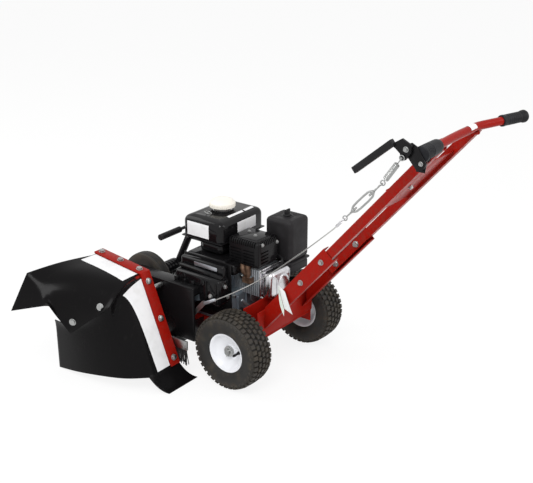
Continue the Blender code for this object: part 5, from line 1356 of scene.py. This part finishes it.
def air_cleaner():
    """The matte box with its seam and its wing nut."""
    low, high = Vector((0.0585, -0.029, 0.3049)), Vector((0.1535, 0.069, 0.4373))
    cover = block("cleaner_shell", low, high, 0.014, 5)
    with editing(cover, "FACE"):
        select_faces(cover, lambda c, n: n.z > 0.98)
        bpy.ops.mesh.inset(thickness=0.016, depth=0.0)
        bpy.ops.transform.translate(value=(0, 0, -0.0022))
    apply(cover, "BEVEL", width=0.0015, segments=2, limit_method="ANGLE", angle_limit=math.radians(25))
    dish = turned("cleaner_dish", Z, (0.106, 0.02, 0.434), [
        (0.0, 0.0), (0.0, 0.02), (0.0024, 0.0195), (0.003, 0.018), (0.003, 0.0),
    ], 40)
    fit(joined("cleaner_cover", [cover, dish]), "chassis", "matte_plastic", "air_cleaner_cover", angle=35)
    base = block("cleaner_base_shell", (0.06, -0.0275, 0.2673), (0.152, 0.0675, 0.299), 0.008, 3)
    rim = block("cleaner_rim", (0.057, -0.0305, 0.2985), (0.155, 0.0705, 0.306), 0.0025, 2)
    snorkel = block("cleaner_snorkel", (0.048, 0.035, 0.272), (0.064, 0.064, 0.296), 0.004, 3)
    tray = joined("cleaner_base", [base, rim, snorkel])
    fit(tray, "chassis", "matte_plastic", "air_cleaner_base", angle=35)
    centre = (0.106, 0.02, 0.4376)
    hub = turned("knob_hub", Z, centre, [
        (0.0, 0.0), (0.0, 0.0132), (0.0025, 0.0138), (0.005, 0.012), (0.006, 0.0085), (0.013, 0.0075),
        (0.014, 0.006), (0.014, 0.0),
    ], 40)
    wing = block("knob_wing", (0.0935, 0.017, 0.443), (0.1185, 0.023, 0.4563), 0.0022, 3)
    fit(joined("wing_knob", [hub, wing]), "cleaner_knob", "black_plastic", "air_cleaner_knob", angle=40)


def carburettor():
    """The carburettor's casting with its float bowl, choke lever, governor rod and fuel hose."""
    body = block("carburettor_body", (0.0556, 0.02, 0.225), (0.101, 0.06, 0.25), 0.004, 3)
    flange = block("carburettor_flange", (0.0556, 0.013, 0.248), (0.105, 0.063, 0.2668), 0.003, 3)
    bowl = turned("float_bowl", Z, (0.083, 0.039, 0.2035), [
        (0.0, 0.0), (0.0, 0.005), (0.002, 0.006), (0.003, 0.015), (0.006, 0.0185), (0.02, 0.019),
        (0.0215, 0.0215), (0.0245, 0.0215), (0.025, 0.0),
    ], 40)
    fit(joined("carburettor_casting", [body, flange, bowl]), "chassis", "bare_alloy", "carburettor", angle=40)
    bolts(
        "carburettor_screws", "chassis", [(0.064, 0.0128, 0.2575), (0.096, 0.0128, 0.2575)], -Y,
        size=0.0035, height=0.003, domed=True,
    )
    lever_plate = slab(
        "choke_lever", "Y", [(0.07, 0.232), (0.112, 0.238), (0.112, 0.244), (0.07, 0.244)], 0.0105, 0.0125,
        0.0006,
    )
    fit(lever_plate, "chassis", "zinc_steel")
    linking = tube(
        "governor_rod", [(0.07, 0.012, 0.26), (0.05, 0.09, 0.328), (0.04, 0.228, 0.342)], 0.0011, 8,
    )
    fit(linking, "chassis", "zinc_steel")
    hose = tube("fuel_hose", [
        (0.09, 0.056, 0.228), (0.1, 0.062, 0.26), (0.086, 0.074, 0.325), (0.06, 0.115, 0.348),
        (0.05, 0.15, 0.361),
    ], 0.0038, 12)
    fit(hose, "chassis", "black_plastic")


def starter():
    """The recoil cover with its ring of cooling slots, and the pull grip."""
    centre = (0.0853, *CRANK_AXIS)
    shell = turned("recoil_shell", X, centre, [
        (0.0, 0.0975), (0.0, 0.101), (0.004, 0.101), (0.005, 0.1), (0.042, 0.1), (0.047, 0.098),
        (0.057, 0.086), (0.06, 0.079), (0.062, 0.06), (0.07, 0.052), (0.074, 0.048), (0.075, 0.043),
        (0.075, 0.012), (0.074, 0.0), (0.0725, 0.0), (0.0725, 0.045), (0.06, 0.059), (0.0575, 0.078),
        (0.054, 0.085), (0.044, 0.0975), (0.0, 0.0975),
    ], 72)
    y, z = CRANK_AXIS
    vent = block("vent", (0.138, y - 0.0028, z + 0.062), (0.17, y + 0.0028, z + 0.081))
    less(shell, round_copies(vent, 24, X, centre))
    spout = block("rope_spout", (0.1005, 0.256, 0.2633), (0.1205, 0.2752, 0.2833), 0.003, 3)
    fit(joined("recoil_housing", [shell, spout]), "chassis", "tank_enamel", "recoil_cover", angle=35)
    for i, angle in enumerate((0.9, 2.3, 3.9, 5.4)):
        way = Vector((0, math.cos(angle), math.sin(angle)))
        spot = (0.09, y + 0.1003 * math.cos(angle), z + 0.1003 * math.sin(angle))
        bolts(f"recoil_bolt_{i}", "chassis", [spot], way, size=0.004, height=0.0035)
    handle_shell = block("pull_handle", (0.1013, 0.276, 0.2453), (0.1193, 0.2937, 0.3013), 0.0065, 4)
    fit(handle_shell, "pull_grip", "black_plastic", "starter_grip", angle=40)
    cord_knot = rod("pull_rope", (0.1103, 0.27, 0.2733), (0.1103, 0.279, 0.2733), 0.0022, 0.0004, 14)
    fit(cord_knot, "pull_grip", "black_plastic")


def controls():
    """The dipstick's wing, the throttle and the stop switch."""
    centre = (-0.06, 0.07, 0.1646)
    cap = turned("dipstick_cap", Y, centre, [
        (0.01, 0.0), (0.01, 0.0105), (-0.0003, 0.0105), (-0.0003, 0.0148), (-0.005, 0.0148),
        (-0.0075, 0.013), (-0.0085, 0.0),
    ], 36)
    wing = block("dipstick_wing", (-0.0735, 0.054, 0.1612), (-0.0465, 0.064, 0.168), 0.0024, 3)
    fit(joined("dipstick_head", [cap, wing]), "dipstick", "black_plastic", "oil_dipstick", angle=40)
    softened("throttle_lever", "throttle", "black_plastic", 0.0008)
    softened("engine_switch", "switch", "red_plastic", 0.0008)
    plate = block("switch_box", (0.012, 0.2486, 0.268), (0.048, 0.2502, 0.307), 0.0006)
    fit(plate, "chassis", "black_plastic")


# ---- belt drive, gauge wheel and cutter ----
# the gauge wheel's axle as y, z
GAUGE_AXLE = (0.41, 0.2)


def belt_cover():
    """The open-backed box over the belt's cutter end, and the hollow casting over its engine end."""
    box = block("cover_box", (-0.182, 0.15, 0.087), (-0.1325, 0.405, 0.262), 0.005, 3)
    hollow = block("cover_hollow", (-0.1802, 0.1518, 0.0888), (-0.12, 0.4032, 0.2602))
    belt_way = block("belt_way", (-0.176, 0.14, 0.158), (-0.12, 0.16, 0.2365))
    shaft_hole = rod("shaft_hole", (-0.19, 0.35, 0.17), (-0.17, 0.35, 0.17), 0.0145)
    less(box, hollow)
    less(box, belt_way)
    less(box, shaft_hole)
    fit(box, "chassis", "black_paint", "belt_guard", angle=40)
    casting = block("casting", (-0.1555, 0.0715, 0.212), (-0.1036, 0.246, 0.296), 0.012, 4)
    less(casting, block("pulley_room", (-0.1532, 0.126, 0.19), (-0.129, 0.214, 0.285)))
    less(casting, rod("shaft_room", (-0.131, *CRANK_AXIS), (-0.1, *CRANK_AXIS), 0.018))
    less(casting, block("box_room", (-0.19, 0.149, 0.19), (-0.131, 0.26, 0.2632)))
    parts = [casting, block("shoulder", (-0.128, 0.08, 0.285), (-0.1036, 0.244, 0.33), 0.008, 4)]
    for y, z, radius in ((0.1, 0.246, 0.015), (0.138, 0.278, 0.012), (0.212, 0.28, 0.013)):
        parts.append(rod("boss", (-0.1545, y, z), (-0.159, y, z), radius, 0.0025, 28))
        parts.append(rod("boss_core", (-0.158, y, z), (-0.1615, y, z), radius * 0.42, 0.0012, 20))
    for y in (0.082, 0.118):
        parts.append(block("casting_rib", (-0.159, y, 0.218), (-0.1545, y + 0.005, 0.286), 0.0015, 2))
    parts.append(rod("casting_tube", (-0.135, 0.076, 0.298), (-0.135, 0.238, 0.304), 0.0075, 0.003, 20))
    fit(joined("engine_side_castings", parts), "chassis", "tank_enamel", angle=40)
    studs = [(-0.157, y, 0.262) for y in (0.175, 0.205, 0.235)]
    bolts("cover_top_studs", "chassis", studs, Z, "tank_enamel", size=0.008, height=0.01)
    bolts("casting_bolt", "chassis", [(-0.1615, 0.1, 0.246)], -X, size=0.0058, height=0.004, domed=True)
    rear = [(-0.13, 0.0717, 0.272), (-0.118, 0.0717, 0.235)]
    bolts("casting_rear_bolts", "chassis", rear, -Y, size=0.0056, height=0.0045)


def belt_side():
    belt_cover()
    bolts(
        "deck_edge_bolts", "chassis", [(-0.1302, 0.175, 0.118), (-0.1302, 0.145, 0.118)], -X, "black_paint",
        size=0.0075, height=0.009,
    )
    fit(NODES["drive_belt"], "chassis", "sheet_rubber")
    rows = [[(x, y, 0.1385) for x in (-0.129, -0.12, -0.111)] for y in (0.056, 0.042, 0.028)]
    wrapped_label("deck_patch", rows, NODES["deck_plate"], "tan_patch")
    for node, body, finish in (
        ("crank_pulley", "crank", "grey_casting"), ("rotor_pulley", "rotor", "grey_casting"),
        ("idler_pulley", "idler_roller", "zinc_steel"), ("idler_arm", "idler", "zinc_steel"),
        ("crankshaft", "crank", "zinc_steel"), ("flywheel", "crank", "bare_alloy"),
        ("rotor_shaft", "rotor", "zinc_steel"),
    ):
        fit(NODES[node], body, finish)


def brush():
    """Stiff bristles of uneven length under a plated holder."""
    low, high = box_of("brush")
    middle = (low.x + high.x) / 2
    tufts = []
    count = 44
    for i in range(count):
        wander = math.sin(i * 12.9898) * 43758.5453
        part = wander - math.floor(wander)
        y = low.y + (high.y - low.y) * (i + 0.5) / count
        foot = (
            middle + 0.0022 * (part - 0.5), y - 0.01 * (part - 0.2) + 0.004 * (i / count),
            low.z + 0.016 * part * (0.35 + 0.65 * i / count) - 0.002,
        )
        tuft = rod("tuft", (middle, y, high.z), foot, 0.0013, 0.0, 6)
        tufts.append(tuft)
    fit(joined("bristle_row", tufts), "chassis", "bristle", "brush", angle=60)
    softened("brush_bar", "chassis", "zinc_steel", 0.0006)
    bolts(
        "brush_bolts", "chassis", [(-0.2368, y, 0.106) for y in (0.145, 0.195)], X, size=0.0045,
        height=0.0035,
    )


def gauge():
    """The small solid tyre on its black hub, carried by the cranked depth arm."""
    centre = (-0.1, *GAUGE_AXLE)
    half = 0.0225
    profile = [
        (0.72 * half, 0.0482), (0.9 * half, 0.053), (0.99 * half, 0.064), (0.96 * half, 0.076),
        (0.8 * half, 0.0845), (0.55 * half, 0.0862), (0.45 * half, 0.085), (0.35 * half, 0.0866),
        (0.08 * half, 0.0869),
    ]
    profile = profile + [(-p, r) for p, r in reversed(profile)]
    tyre = turned("gauge_carcass", X, centre, profile + profile[:1], 80)
    fit(tyre, "gauge_wheel", "tyre_rubber", "gauge_tyre", angle=40)
    hub = [
        (-0.0165, 0.0085), (-0.0165, 0.02), (-0.015, 0.0225), (-0.013, 0.023), (-0.011, 0.04),
        (-0.013, 0.044), (-0.0165, 0.0482), (0.0165, 0.0482), (0.0165, 0.029),
    ]
    for i in range(8):
        p = 0.02 + 0.013 * i
        hub += [(p, 0.0275), (p + 0.0015, 0.0248), (p + 0.005, 0.0248), (p + 0.0065, 0.0275)]
    hub += [(0.128, 0.027), (0.1295, 0.025), (0.1295, 0.0085), (-0.0165, 0.0085)]
    fit(turned("ribbed_hub", X, centre, hub, 64), "gauge_wheel", "tank_enamel", "gauge_rim", angle=40)
    cap = turned(
        "gauge_axle_cap", X, (-0.1168, *GAUGE_AXLE),
        [(0.0, 0.0), (-0.005, 0.0), (-0.006, 0.006), (-0.0045, 0.011), (0.0, 0.0125), (0.0, 0.0)], 32,
    )
    fit(cap, "gauge", "zinc_steel")
    softened("gauge_arm", "gauge", "black_paint", 0.001)
    sleeve = [(0.0, 0.0), (0.0, 0.0085), (0.0015, 0.0098)]
    for i in range(10):
        p = 0.006 + 0.008 * i
        sleeve += [(p, 0.0098), (p + 0.001, 0.0092), (p + 0.003, 0.0092), (p + 0.004, 0.0098)]
    sleeve += [(0.09, 0.0096), (0.0915, 0.008), (0.0915, 0.0)]
    fit(turned("depth_grip_sleeve", X, (-0.123, 0.33, 0.363), sleeve, 32), "gauge", "black_plastic", angle=40)
    bolts("gauge_pivot_bolt", "chassis", [(0.0383, 0.305, 0.158)], X, size=0.0075, height=0.006)


def cutter():
    fit(NODES["cutter_wheel"], "rotor", "zinc_steel")
    softened("spindle_housing", "chassis", "black_paint", 0.0012)
    softened("tie_rod", "chassis", "zinc_steel", 0.0008)


bpy.context.scene.view_settings.view_transform = "Standard"
camera()
lights()
world()
finishes()
floor()
for node_name, node_object in NODES.items():
    slot_name = next(s["material_slot"] for s in frame["record"]["subparts"] if s["node"] == node_name)
    node_object.data.materials.clear()
    node_object.data.materials.append(Finish.made[slot_name].material)
wheels()
hood()
strip_bolts()
chassis()
handle()
lever()
declare_rope(*linkage())
hang_tag()
fuel_tank()
fuel_cap()
muffler_guard()
cylinder()
crankcase()
air_cleaner()
carburettor()
starter()
controls()
belt_side()
brush()
gauge()
cutter()
